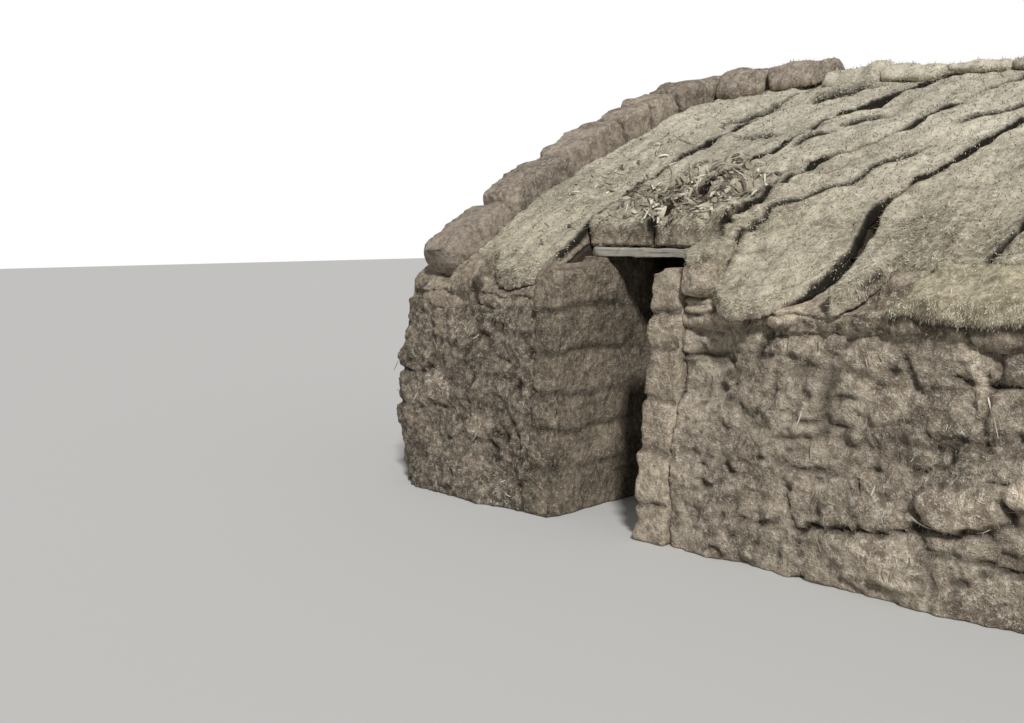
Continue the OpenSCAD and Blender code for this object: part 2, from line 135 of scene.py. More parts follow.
# Open slits between the sods of the front: x and z along each, half width, how open
front_slits = [([(-0.62, 0.22), (-0.41, 0.25), (-0.12, 0.29), (0.06, 0.32), (0.24, 0.37)],
                0.012, 1.0),
               ([(-0.72, 0.58), (-0.38, 0.61), (-0.16, 0.63), (0.33, 0.70)], 0.020, 0.45),
               ([(0.20, 1.05), (0.19, 0.90), (0.17, 0.68)], 0.016, 0.6),
               ([(-0.49, 0.90), (-0.51, 0.64)], 0.040, 0.6),
               ([(0.27, 0.47), (0.31, 0.38)], 0.024, 1.0),
               ([(-0.66, 0.38), (-0.64, 0.22)], 0.014, 0.6),
               ([(-0.86, 0.93), (-0.80, 1.04)], 0.014, 0.8),
               ([(-0.02, 0.27), (0.03, 0.08)], 0.022, 0.5),
               ([(-0.20, 0.97), (-0.13, 0.88)], 0.022, 0.7),
               ([(-1.02, 0.72), (-0.90, 0.67), (-0.84, 0.70)], 0.020, 0.6)]
# Clods and sods that stand out from it: x, z, half sizes, turn, how far out, tone
front_clods = [(0.10, 0.42, 0.165, 0.080, 0.17, 0.040, 1.9),
               (0.37, 0.50, 0.09, 0.055, 0.1, 0.040, 2.0),
               (-0.21, 0.16, 0.180, 0.100, 0.12, 0.022, 1.3),
               (-0.25, 0.78, 0.16, 0.060, 0.1, 0.014, 1.2),
               (-2.75, 0.95, 0.11, 0.06, 0.2, 0.012, 1.8),
               (-2.95, 0.60, 0.13, 0.07, -0.3, 0.012, 1.7),
               (-2.6, 0.42, 0.10, 0.06, 0.3, 0.012, 1.8),
               (1.3, 0.9, 0.17, 0.08, 0.1, 0.02, 1.3),
               (0.11, 0.99, 0.035, 0.055, 0.1, 0.014, 2.0),
               (0.145, 0.86, 0.030, 0.080, 0.25, 0.014, 2.0)]
# Bumps of the walls' faces, from the broadest to the finest: how high and how wide
wall_bumps = ((0.026, 0.42), (0.022, 0.18), (0.017, 0.090), (0.014, 0.048),
              (0.007, (0.16, 0.16, 0.03)))
# How far the sods stand in and out, and how deep the joints, the undercuts below each sod, the
# cracks and the holes are
sod_play = 0.036
joint_depth = 0.036
shelf_depth = 0.020
split_depth = 0.018
hole_depth = 0.018
bed_joint = 0.013
end_joint = 0.014
# The foot spreads by this much below this height
foot_spread = 0.012
foot_height = 0.30
# How far apart in the noise two seeds lie, and what brings it to about 1
seed_step = np.array([3.71, 5.33, 7.19])
noise_gain = 1.7

shuffle = np.random.default_rng(11).permutation(256)
slants = np.random.default_rng(12).normal(size=(256, 3))
slants /= np.linalg.norm(slants, axis=1)[:, None]


def bumps(points, size, seed):
    """Smooth random bumps, from about -1 to 1, as wide as size."""
    place = points / np.asarray(size, float) + seed * seed_step
    cell = np.floor(place).astype(np.int64)
    part = place - cell
    fade = part ** 3 * (part * (part * 6 - 15) + 10)
    total = np.zeros(len(points))
    for corner in np.ndindex(2, 2, 2):
        corner = np.array(corner)
        key = (cell + corner) & 255
        pick = shuffle[(shuffle[(shuffle[key[:, 0]] + key[:, 1]) & 255] + key[:, 2]) & 255]
        share = np.prod(np.where(corner == 1, fade, 1 - fade), axis=1)
        total += share * np.sum(slants[pick] * (part - corner), axis=1)
    return total * noise_gain


def rough(points, seed, *layers):
    """Bumps of several sizes added up. Each layer says how high they are, and how wide."""
    return sum(height * bumps(points, size, seed + i) for i, (height, size) in enumerate(layers))


def band(distance, half_width):
    """1 on a line, and less and less beside it."""
    return np.exp(-(distance / half_width) ** 2)


def chance(a, seed, b=0):
    """A fixed random number from 0 to 1 for each whole number, or for each pair of them."""
    first = shuffle[(np.asarray(a, np.int64) + seed) & 255]
    return shuffle[(first + np.asarray(b, np.int64)) & 255] / 255.0


def between_joints(place, seed, row=0):
    """The uneven cell that each place falls in, and how far it is from the cell's two ends."""
    def joint(k):
        return k + 0.5 * (chance(k, seed, row) - 0.5)

    k = np.floor(place)
    k = np.where(place < joint(k), k - 1, np.where(place > joint(k + 1), k + 1, k))
    return k, place - joint(k), joint(k + 1) - place


def points_of(mesh):
    points = np.empty(len(mesh.vertices) * 3, np.float32)
    mesh.vertices.foreach_get("co", points)
    return points.reshape(-1, 3).astype(float)


def move_points(mesh, points):
    mesh.vertices.foreach_set("co", points.astype(np.float32).ravel())
    mesh.update()


def note(mesh, name, values):
    """Keeps a number for each point, which the materials read."""
    mesh.attributes.new(name, "FLOAT", "POINT").data.foreach_set(
        "value", np.asarray(values, np.float32))


def settle(piece):
    """Keeps what the modifiers have made of a piece."""
    graph = bpy.context.evaluated_depsgraph_get()
    piece.data = bpy.data.meshes.new_from_object(piece.evaluated_get(graph))
    piece.data.name = piece.name
    piece.modifiers.clear()


def quads_of(mesh):
    quads = np.empty(len(mesh.polygons) * 4, np.int32)
    mesh.polygons.foreach_get("vertices", quads)
    return quads.reshape(-1, 4)


def fine_form(name, points, faces, grain):
    """A closed form made again in small even quads, ready to be shaped."""
    mesh = bpy.data.meshes.new(name)
    mesh.from_pydata([tuple(p) for p in points], [], faces)
    piece = put(name, mesh)
    remesh = piece.modifiers.new("Even quads", "REMESH")
    remesh.mode = "VOXEL"
    remesh.voxel_size = grain
    settle(piece)
    return piece


def solid_of(node):
    mesh = nodes[node].data
    return points_of(mesh), [tuple(face.vertices) for face in mesh.polygons]


def thin_out(piece, still):
    """Joins most of the flat quads among the points that were left as they are."""
    flat = np.asarray(still)[quads_of(piece.data)].all(axis=1).mean()
    fewer = piece.modifiers.new("Fewer flat faces", "DECIMATE")
    fewer.ratio = 1 - 0.95 * flat
    settle(piece)
    piece.data.shade_smooth()


def smooth_step(low, high, values):
    t = np.clip((values - low) / (high - low), 0, 1)
    return t * t * (3 - 2 * t)


def outer_face(points):
    """How near each point is to the walls' outer face, and the way out from there."""
    reach = np.stack([np.interp(points[:, 2], wall_levels[:, 0], wall_levels[:, i])
                      for i in (1, 2)], axis=1)
    inset = np.abs(points[:, :2]) - (reach - corner_radius)
    corner = np.maximum(inset, 0)
    length = np.linalg.norm(corner, axis=1)
    distance = length + np.minimum(inset.max(axis=1), 0) - corner_radius
    out = np.zeros((len(points), 3))
    rounded = length > 1e-6
    out[rounded, :2] = corner[rounded] / length[rounded, None]
    flat = ~rounded
    out[flat, 0] = inset[flat, 0] > inset[flat, 1]
    out[flat, 1] = inset[flat, 0] <= inset[flat, 1]
    out[:, :2] *= np.sign(points[:, :2])
    return distance, out


def beside(points, line):
    """How far each point of the front is from a bent line on it."""
    nearest = np.full(len(points), np.inf)
    place = points[:, [0, 2]]
    for start, end in zip(np.array(line), np.array(line)[1:]):
        run = end - start
        t = np.clip((place - start) @ run / (run @ run), 0, 1)
        nearest = np.minimum(nearest, np.linalg.norm(place - start - t[:, None] * run, axis=1))
    return nearest


def shape_clods(points, relief, joint, tone, clods):
    """Makes rounded clods stand out, each with a dip below it painted dark as its shadow, and its
    own tone.
    """
    for x, z, half_x, half_z, turn, depth, own_tone in clods:
        across, rise = points[:, 0] - x, points[:, 2] - z
        u = (across * math.cos(turn) + rise * math.sin(turn)) / half_x
        v = (rise * math.cos(turn) - across * math.sin(turn)) / half_z
        edge = (np.abs(u) ** 3 + np.abs(v) ** 3) ** (1 / 3)
        inside = smooth_step(1.25, 0.65, edge)
        # The rim below each clod is painted dark: painted shadow.
        painted_shadow_rim = band(edge - 1.18, 0.12) * smooth_step(0.5, -0.4, v)
        relief = relief * (1 - 0.4 * inside) + depth * inside - 0.35 * depth * painted_shadow_rim
        joint = np.maximum(joint * (1 - 0.8 * inside), min(18 * depth, 0.75) * painted_shadow_rim)
        tone = tone * (1 - inside) + own_tone * inside
    return relief, joint, tone


def add_marks(points, relief, joint, tone, seed):
    """Adds the slits and clods of the front to its relief."""
    astray = points.copy()
    for axis in (0, 2):
        astray[:, axis] += 0.030 * bumps(points, 0.11, seed + axis) + 0.014 * bumps(
            points, 0.045, seed + 4 + axis)
    for line, half_width, open_share in front_slits:
        slit = open_share * band(beside(astray, line), half_width)
        relief -= 0.035 * slit
        joint = np.maximum(joint, slit)
    return shape_clods(astray, relief, joint, tone, front_clods)


def sod_relief(points, along, seed):
    """The relief of stacked sods: how far the face stands out, its joints and each sod's tone."""
    sway = rough(points, seed, (0.045, 0.60), (0.018, 0.16))
    slip = 0.080 * bumps(points, 0.30, seed + 2) + 0.020 * bumps(points, 0.09, seed + 12)
    row, low, high = between_joints((points[:, 2] + sway) / course_height, seed)
    column, left, right = between_joints((along + slip) / sod_length + 0.43 * row, seed + 1, row)
    tone = chance(column, seed + 2, row)
    bed = np.minimum(low, high) * course_height
    end = np.minimum(left, right) * sod_length
    gape = np.clip(0.25 + 1.0 * bumps(points, 0.36, seed + 3), 0.0, 1.1)
    end_gape = np.clip(0.02 + 1.0 * bumps(points, 0.27, seed + 13), 0.0, 0.9)
    joint = np.maximum(band(bed, bed_joint) * gape, band(end, end_joint) * end_gape)
    # Cracks from drying, and holes where crumbs have dropped out
    split = band(bumps(points, (0.26, 0.26, 0.20), seed + 14), 0.045)
    split *= np.clip(0.9 * bumps(points, 0.5, seed + 15) + 0.25, 0, 1)
    holes = smooth_step(0.38, 0.62, bumps(points, (0.085, 0.085, 0.055), seed + 16))
    shelf = np.exp(-low * course_height / 0.035) * gape
    relief = (sod_play * (tone - 0.5) * np.clip(bed / 0.03, 0, 1) - joint_depth * joint
              - shelf_depth * shelf - split_depth * split - hole_depth * holes
              + rough(points, seed + 4, *wall_bumps))
    return relief, np.maximum(joint, np.maximum(0.7 * split, 0.6 * holes)), 0.2 + 0.6 * tone


def shape_wall(piece, seed):
    mesh = piece.data
    points = points_of(mesh)
    distance, out = outer_face(points)
    outer = smooth_step(-0.075, -0.02, distance)
    on_side = np.abs(out[:, 0]) > np.abs(out[:, 1])
    along = np.where(on_side, points[:, 1] + 20, points[:, 0])
    relief, joint, tone = sod_relief(points, along, seed)
    for x, z, half_x, half_z, depth in front_swells:
        near = band(points[:, 0] - x, half_x) * band(points[:, 2] - z, half_z)
        relief += depth * near * (points[:, 1] < front_limit)
    in_front = (points[:, 1] < front_limit) & ~on_side
    if in_front.any():
        relief[in_front], joint[in_front], tone[in_front] = add_marks(
            points[in_front], relief[in_front], joint[in_front], tone[in_front], seed + 30)
    foot = np.clip(1 - points[:, 2] / foot_height, 0, 1)
    relief += foot * (0.03 * bumps(points, 0.30, seed + 20) + foot_spread)
    still = outer < 0.02
    points += out * (relief * outer)[:, None]
    points[:, 2] += outer * 0.012 * bumps(points, 0.11, seed + 21) * (points[:, 2] > 0.03)
    points[:, 2] = np.maximum(points[:, 2], 0)
    move_points(mesh, points)
    note(mesh, "joint", joint * outer)
    note(mesh, "tone", tone)
    note(mesh, "nap", outer * (points[:, 2] > 0.04))
    thin_out(piece, still)


def group(name, inputs, outputs):
    """An empty shader group with its sockets."""
    tree = bpy.data.node_groups.new(name, "ShaderNodeTree")
    for socket, kind in inputs:
        tree.interface.new_socket(socket, in_out="INPUT", socket_type="NodeSocket" + kind)
    for socket, kind in outputs:
        tree.interface.new_socket(socket, in_out="OUTPUT", socket_type="NodeSocket" + kind)
    return tree, tree.nodes.new("NodeGroupInput"), tree.nodes.new("NodeGroupOutput")


def clouds(tree, place, scale, detail=3.0, roughness=0.55):
    noise = tree.nodes.new("ShaderNodeTexNoise")
    noise.inputs["Scale"].default_value = scale
    noise.inputs["Detail"].default_value = detail
    noise.inputs["Roughness"].default_value = roughness
    tree.links.new(place, noise.inputs["Vector"])
    return noise.outputs["Fac"]


def level(tree, value, low, high, to_low=0.0, to_high=1.0):
    span = tree.nodes.new("ShaderNodeMapRange")
    span.inputs["From Min"].default_value = low
    span.inputs["From Max"].default_value = high
    span.inputs["To Min"].default_value = to_low
    span.inputs["To Max"].default_value = to_high
    tree.links.new(value, span.inputs["Value"])
    return span.outputs["Result"]


def blend(tree, share, below, above, how="MIX"):
    mix = tree.nodes.new("ShaderNodeMix")
    mix.data_type = "RGBA"
    mix.blend_type = how
    for value, socket in ((share, mix.inputs["Factor"]), (below, mix.inputs["A"]),
                          (above, mix.inputs["B"])):
        if isinstance(value, bpy.types.NodeSocket):
            tree.links.new(value, socket)
        else:
            socket.default_value = value
    return mix.outputs["Result"]


def sums(tree, how, a, b, c=None):
    node = tree.nodes.new("ShaderNodeMath")
    node.operation = how
    for value, socket in zip((a, b, c), node.inputs):
        if isinstance(value, bpy.types.NodeSocket):
            tree.links.new(value, socket)
        elif value is not None:
            socket.default_value = value
    return node.outputs["Value"]


def weighed(tree, a, share_a, b, share_b):
    return sums(tree, "MULTIPLY_ADD", a, share_a, sums(tree, "MULTIPLY", b, share_b))


def noted(tree, name):
    """A number that each point of the mesh keeps."""
    number = tree.nodes.new("ShaderNodeAttribute")
    number.attribute_name = name
    return number.outputs["Fac"]


def stretched(tree, place, scale):
    shape = tree.nodes.new("ShaderNodeMapping")
    shape.inputs["Scale"].default_value = scale
    tree.links.new(place, shape.inputs["Vector"])
    return shape.outputs["Vector"]


def tint(red, green, blue):
    """A colour given as screen values from 0 to 255."""
    return tuple(((v / 255 + 0.055) / 1.055) ** 2.4 if v > 10 else v / 255 / 12.92
                 for v in (red, green, blue)) + (1.0,)


# Old peat and turf in patches: broad weathering, clods, crumbs and fine speckle
weathered, inside, outside = group(
    "Weathered turf",
    [("Place", "Vector"), ("Dark", "Color"), ("Middle", "Color"), ("Pale", "Color")],
    [("Color", "Color"), ("Height", "Float")])
place = inside.outputs["Place"]
broad = level(weathered, clouds(weathered, place, 1.9, 4.0, 0.6), 0.38, 0.62)
clods = level(weathered, clouds(weathered, place, 11.0, 5.0, 0.70), 0.36, 0.64)
crumbs = clouds(weathered, place, 38.0, 4.0, 0.7)
speckle = clouds(weathered, place, 150.0, 2.0, 0.7)
patches = weighed(weathered, broad, 0.45, clods, 0.55)
body = blend(weathered, level(weathered, patches, 0.12, 0.75), inside.outputs["Dark"],
             inside.outputs["Middle"])
flecks = level(weathered, weighed(weathered, crumbs, 0.6, speckle, 0.4), 0.50, 0.68)
body = blend(weathered, sums(weathered, "MULTIPLY", flecks, 0.85), body, inside.outputs["Pale"])
pits = level(weathered, crumbs, 0.46, 0.28)
body = blend(weathered, sums(weathered, "MULTIPLY", pits, 0.85), body, inside.outputs["Dark"])
weathered.links.new(body, outside.inputs["Color"])
height = weighed(weathered, crumbs, 0.6, speckle, 0.25)
weathered.links.new(sums(weathered, "MULTIPLY_ADD", clods, 0.35, height),
                    outside.inputs["Height"])

# Dead grass, moss and root fibres: thin streaks that run one way
fibres, inside, outside = group(
    "Fibres", [("Place", "Vector"), ("Dark", "Color"), ("Pale", "Color"), ("Under", "Color")],
    [("Color", "Color"), ("Height", "Float")])
place = inside.outputs["Place"]
thin = clouds(fibres, place, 1.0, 3.0, 0.65)
wisps = clouds(fibres, stretched(fibres, place, (0.31, 0.27, 0.31)), 1.0, 3.0, 0.6)
strands = weighed(fibres, thin, 0.6, wisps, 0.4)
body = blend(fibres, level(fibres, strands, 0.52, 0.66, 0.0, 0.8), inside.outputs["Under"],
             inside.outputs["Pale"])
body = blend(fibres, level(fibres, strands, 0.47, 0.36, 0.0, 0.75), body,
             inside.outputs["Dark"])
fibres.links.new(body, outside.inputs["Color"])
fibres.links.new(strands, outside.inputs["Height"])

# Joints and hollows are painted dark: open joints with damp and loose peat, and painted shade in
# cracks, hollows and under overhangs. Each sod has its own tone
shaded, inside, outside = group(
    "Joints, painted shade and tones", [("Body", "Color"), ("Joint and painted shade", "Color"), ("Depth", "Float")],
    [("Color", "Color")])
bright = level(shaded, noted(shaded, "tone"), 0.0, 2.0, 0.80, 1.50)
grey = shaded.nodes.new("ShaderNodeCombineColor")
for channel in ("Red", "Green", "Blue"):
    shaded.links.new(bright, grey.inputs[channel])
body = blend(shaded, 1.0, inside.outputs["Body"], grey.outputs["Color"], "MULTIPLY")
share = sums(shaded, "MULTIPLY", level(shaded, noted(shaded, "joint"), 0.05, 0.9),
             inside.outputs["Depth"])
body = blend(shaded, share, body, inside.outputs["Joint and painted shade"])
shaded.links.new(body, outside.inputs["Color"])


def new_finish(name, roughness, gloss):
    finish = bpy.data.materials.new(name)
    finish.use_nodes = True
    shader = finish.node_tree.nodes["Principled BSDF"]
    shader.inputs["Roughness"].default_value = roughness
    shader.inputs["Specular IOR Level"].default_value = gloss
    return finish, finish.node_tree, shader


def placed(tree, effect, place, **colours):
    """One of the shader groups in a material, with its colours."""
    node = tree.nodes.new("ShaderNodeGroup")
    node.node_tree = effect
    for socket, colour in colours.items():
        node.inputs[socket].default_value = tint(*colour)
    tree.links.new(place, node.inputs["Place"])
    return node


def emboss(tree, shader, height, depth):
    relief = tree.nodes.new("ShaderNodeBump")
    relief.inputs["Distance"].default_value = depth
    tree.links.new(height, relief.inputs["Height"])
    tree.links.new(relief.outputs["Normal"], shader.inputs["Normal"])


def turf_finish(name, dark, middle, pale, joint_and_shade_colour, joint_depth, streak, streak_scale,
                streak_share, bump, peat=None, bleached=None):
    """A rough turf material: patches, fibres over them, bare cut peat, and dark joints with
    painted shade.
    """
    finish, tree, shader = new_finish(name, 0.95, 0.12)
    space = tree.nodes.new("ShaderNodeTexCoord").outputs["Object"]
    ground = placed(tree, weathered, space, Dark=dark, Middle=middle, Pale=pale)
    mat = placed(tree, fibres, stretched(tree, space, streak_scale), Dark=dark, Pale=streak)
    tree.links.new(ground.outputs["Color"], mat.inputs["Under"])
    body = blend(tree, streak_share, ground.outputs["Color"], mat.outputs["Color"])
    if bleached:
        colour, low, high, most = bleached
        place = tree.nodes.new("ShaderNodeSeparateXYZ")
        tree.links.new(space, place.inputs["Vector"])
        body = blend(tree, level(tree, place.outputs["Z"], low, high, 0.0, most), body,
                     tint(*colour), "SCREEN")
    if peat:
        cut = placed(tree, weathered, space, Dark=peat[0], Middle=peat[1], Pale=peat[2])
        body = blend(tree, noted(tree, "bare"), body, cut.outputs["Color"])
    seams = tree.nodes.new("ShaderNodeGroup")
    seams.node_tree = shaded
    seams.inputs["Joint and painted shade"].default_value = tint(*joint_and_shade_colour)
    seams.inputs["Depth"].default_value = joint_depth
    tree.links.new(body, seams.inputs["Body"])
    tree.links.new(seams.outputs["Color"], shader.inputs["Base Color"])
    emboss(tree, shader, sums(tree, "MULTIPLY_ADD", mat.outputs["Height"], streak_share,
                              ground.outputs["Height"]), bump)
    return finish


wall_finish = turf_finish(
    "Weathered wall sods", (104, 93, 80), (170, 157, 138), (222, 214, 198),
    (38, 32, 26), 0.9, (198, 187, 166), (60, 60, 150), 0.3, 0.030)
# A darker copy of the wall sods, for the front wall left of the doorway, paints the shade that
# lies on that wall.
painted_shade_wall_finish = turf_finish(
    "Wall sods with painted shade", (68, 60, 51), (126, 114, 99), (204, 196, 180),
    (30, 25, 21), 0.9, (166, 155, 136), (60, 60, 150), 0.3, 0.030)


def extended(points, axis, edge, reach):
    """Runs an end of a solid on into its neighbour, so that no straight joint shows."""
    points = points.copy()
    ends = np.abs(points[:, axis]) > edge
    points[ends, axis] += np.sign(points[ends, axis]) * reach
    return points


def coat(piece, finish):
    piece.data.materials.clear()
    piece.data.materials.append(finish)


def dress(piece, finish, slot, *replaced):
    coat(piece, finish)
    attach(piece, "root")
    if replaced:
        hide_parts(*replaced)


# The end walls reach on into the side walls' corners from here
end_wall_half = 1.84
end_wall_reach = 0.06
wall_pieces = {}
for node, grain in (("front_wall_left", wall_grain), ("front_wall_right", wall_grain),
                    ("back_wall", end_wall_grain)):
    piece = fine_form(node + "_sods", *solid_of(node), grain)
    shape_wall(piece, 30 if node.startswith("front") else 60)
    dress(piece, painted_shade_wall_finish if node == "front_wall_left" else wall_finish,
          "wall_sods", node)
    wall_pieces[node] = piece
for node in ("left_end_wall", "right_end_wall"):
    points, faces = solid_of(node)
    points = extended(points, 1, end_wall_half, end_wall_reach)
    piece = fine_form(node + "_sods", points, faces, end_wall_grain)
    shape_wall(piece, 30)
    dress(piece, wall_finish, "wall_sods", node)
    wall_pieces[node] = piece

# The jambs are piles of squared sods, one sod wide, that lean back a little with the wall. Each
# sod is a hand high, with rounded furry edges, and has slipped a little on the one below.
jamb_grain = 0.015
jamb_course = 0.222
door_height = 1.34
jamb_joint = 0.018
jamb_bumps = ((0.015, 0.16), (0.009, 0.07), (0.005, 0.035))
# The part of a jamb with a y below this shows
jamb_shown_to = -2.0
jamb_finish = turf_finish(
    "Jamb sods", (108, 97, 83), (172, 158, 138), (220, 211, 192),
    (42, 35, 29), 0.85, (202, 190, 168), (70, 70, 150), 0.4, 0.026)
# A darker copy of the jamb sods, for the left jamb, paints the shade that falls on it.
painted_shade_jamb_finish = turf_finish(
    "Jamb sods with painted shade", (78, 70, 60), (128, 116, 100), (184, 174, 156),
    (36, 30, 25), 0.85, (160, 149, 131), (70, 70, 150), 0.4, 0.026)


def normals_of(mesh):
    normals = np.empty(len(mesh.vertices) * 3, np.float32)
    mesh.vertex_normals.foreach_get("vector", normals)
    return normals.reshape(-1, 3).astype(float)


def shape_jamb(piece, node, side, seed):
    mesh = piece.data
    points = points_of(mesh)
    low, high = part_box(node)
    # The faces that show: the front, and the side towards the opening
    facing = normals_of(mesh)
    front = smooth_step(-0.55, -0.75, facing[:, 1])
    opening = high[0] if side > 0 else low[0]
    inner = (smooth_step(0.05, 0.01, np.abs(points[:, 0] - opening))
             * smooth_step(jamb_shown_to, jamb_shown_to - 0.3, points[:, 1]))
    shown = np.maximum(front, inner) * (points[:, 1] < jamb_shown_to)
    near_front = smooth_step(0.30, 0.10, points[:, 1] - low[1]
                             - 0.15 * np.clip(points[:, 2] / door_height, 0, 1))
    sway = rough(points, seed, (0.02, 0.12), (0.025, 0.4))
    row, below, above = between_joints((points[:, 2] + sway) / jamb_course, seed)
    joint = band(np.minimum(below, above) * jamb_course, jamb_joint)
    slip_x = 0.018 * (chance(row, seed + 2) - 0.5) + 0.012
    slip_y = 0.035 * (chance(row, seed + 3) - 0.5)
    swell = -0.015 * joint + rough(points, seed + 4, *jamb_bumps)
    points[:, 0] += side * inner * (slip_x + swell) * (points[:, 2] < door_height - 0.02)
    points[:, 1] -= near_front * (slip_y + swell) * smooth_step(-0.3, -0.6, facing[:, 1])
    # The topmost sods are worn round
    for edge_x in (low[0], high[0]):
        worn = np.clip(1 - np.hypot((points[:, 0] - edge_x) / 0.09,
                                    (points[:, 2] - points[:, 2].max()) / 0.10), 0, 1)
        points[:, 2] -= 0.045 * worn * near_front
        points[:, 0] -= np.sign(edge_x - (low[0] + high[0]) / 2) * 0.030 * worn * near_front
    points[:, 2] = np.maximum(points[:, 2], 0)
    move_points(mesh, points)
    note(mesh, "joint", 0.55 * joint * shown)
    note(mesh, "tone", chance(row, seed + 7))
    note(mesh, "nap", np.maximum(near_front, inner) * (points[:, 2] > 0.03))
    thin_out(piece, (inner < 0.02) & (near_front < 0.02))


for node, side, seed in (("left_jamb", 1, 71), ("right_jamb", -1, 75)):
    piece = fine_form(node + "_sods", *solid_of(node), jamb_grain)
    shape_jamb(piece, node, side, seed)
    dress(piece, painted_shade_jamb_finish if node == "left_jamb" else jamb_finish, "wall_sods", node)
    wall_pieces[node] = piece

# Over the doorway a row of short wall sods lies on the lintel, packed under the roof. They are
# cut off square, and their dark cut faces show above the slab.
cut_sod_grain = 0.014
cut_sod_width = 0.21
cut_sod_bumps = ((0.018, 0.12), (0.008, 0.05))
piece = fine_form("wall_over_door_sods", *solid_of("wall_over_door"), cut_sod_grain)
mesh = piece.data
points = points_of(mesh)
sway = 0.02 * bumps(points, 0.1, 80)
column, left, right = between_joints((points[:, 0] + sway) / cut_sod_width, 82)
joint = band(np.minimum(left, right) * cut_sod_width, 0.014)
front = smooth_step(0.12, 0.03, points[:, 1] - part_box("wall_over_door")[0][1])
swell = 0.03 * (chance(column, 83) - 0.5) - 0.03 * joint + rough(points, 84, *cut_sod_bumps)
points[:, 1] -= front * (swell + 0.01)
move_points(mesh, points)
note(mesh, "joint", joint * front)
note(mesh, "tone", 0.3 * chance(column, 86))
thin_out(piece, front < 0.02)
dress(piece, wall_finish, "wall_sods", "wall_over_door")

# The lintel is one flat split slab of wood, weathered pale grey, with worn, rounded ends.
# Behind it lie split poles.
slab_grain = 0.011
slab_bumps = ((0.007, 0.13), (0.004, 0.05), (0.002, 0.025))
slab_wear = 0.003


def wood_finish(name, dark, pale, under, scale, roughness, gloss, bump):
    """Old wood: fibres over a plain tone, which all run one way."""
    finish, tree, shader = new_finish(name, roughness, gloss)
    space = tree.nodes.new("ShaderNodeTexCoord").outputs["Object"]
    grain = placed(tree, fibres, stretched(tree, space, scale), Dark=dark, Pale=pale, Under=under)
    tree.links.new(grain.outputs["Color"], shader.inputs["Base Color"])
    emboss(tree, shader, grain.outputs["Height"], bump)
    return finish


slab = fine_form("door_lintel_slab", *solid_of("door_lintel"), slab_grain)
points = points_of(slab.data)
worn = rough(points, 90, *slab_bumps) - slab_wear
points += normals_of(slab.data) * worn[:, None]
move_points(slab.data, points)
slab.data.shade_smooth()
slab_finish = wood_finish("Weathered slab", (92, 86, 77), (186, 180, 168), (146, 140, 129),
                          (7, 70, 110), 0.85, 0.25, 0.004)
dress(slab, slab_finish, "lintel_slab", "door_lintel")

# The roof timbers are round poles and bent, axe-hewn branches, grey-brown and smoked by the
# fire. They rest in pockets in the gables, and their grain runs along each one.
timber_finishes = {
    way: wood_finish("Smoked timber, grain " + way, (48, 38, 29), (122, 101, 78), (84, 67, 50),
                     scale, 0.8, 0.5, 0.006)
    for way, scale in (("along", (3, 60, 60)), ("down", (60, 6, 60)))}
for node in nodes:
    way = ("down" if "rafter" in node
           else "along" if "purlin" in node or node in ("ridge_beam", "inner_lintels") else None)
    if way:
        coat(nodes[node], timber_finishes[way])

# Brushwood, a thick mat of twigs and heather, lies loose on the purlins and carries the sods.
# Its stems run down the slope.
brush_finish = turf_finish(
    "Brushwood", (30, 24, 18), (62, 50, 37), (100, 82, 61),
    (30, 24, 18), 0.0, (90, 74, 55), (90, 14, 60), 0.85, 0.02)
for node in ("front_brushwood", "back_brushwood"):
    coat(nodes[node], brush_finish)

# The head course closes the wall under the roof. It is laid grass side out, so that dead grass
# hangs ragged from its lower edge over the wall.
head_grain = 0.017
head_sod_length = 0.52
head_lap = 0.06
head_bumps = ((0.022, 0.3), (0.014, 0.12), (0.008, 0.055))
# The lip of the grassy sods hangs down to this height
lip_height = 1.135
lip_bumps = ((0.022, (0.22, 9, 9)), (0.012, (0.07, 9, 9)))
# The roof is part of a round: its radius, its centre in y and z, and the ridge's turn from there
roof_radius = 9.0237
roof_centre = np.array([2.2726, -6.2924])
ridge_turn = math.radians(14.59)
head_finish = turf_finish(
    "Grassy head sods", (118, 108, 88), (172, 162, 137), (214, 207, 184),
    (38, 32, 25), 0.9, (206, 198, 172), (90, 90, 22), 0.6, 0.016,
    ((92, 82, 70), (152, 139, 121), (208, 199, 181)))
# Uneven sods under the roof's edge, left and right of the hanging tongues, as on the walls
head_clods = [(-1.215, 1.265, 0.075, 0.050, 0.0, 0.045, 1.3),
              (-1.19, 1.155, 0.085, 0.050, 0.1, 0.040, 1.2),
              (-1.02, 1.09, 0.080, 0.035, 0.0, 0.020, 0.8),
              (-0.72, 1.12, 0.10, 0.045, 0.35, 0.035, 1.8),
              (-0.55, 1.13, 0.09, 0.05, 0.0, 0.020, 1.2),
              (-0.33, 1.14, 0.07, 0.05, 0.2, 0.02, 0.9)]


def on_slope(points, side):
    """Distance down the slope from the ridge, and depth below the roof surface."""
    across = side * points[:, 1]
    offset = np.stack([roof_centre[0] - across, points[:, 2] - roof_centre[1]], axis=1)
    reach = np.linalg.norm(offset, axis=1)
    turn = np.arctan2(offset[:, 0], offset[:, 1]) - ridge_turn
    out = np.stack([np.zeros(len(points)), -side * offset[:, 0] / reach,
                    offset[:, 1] / reach], axis=1)
    return turn * roof_radius, roof_radius - reach, out


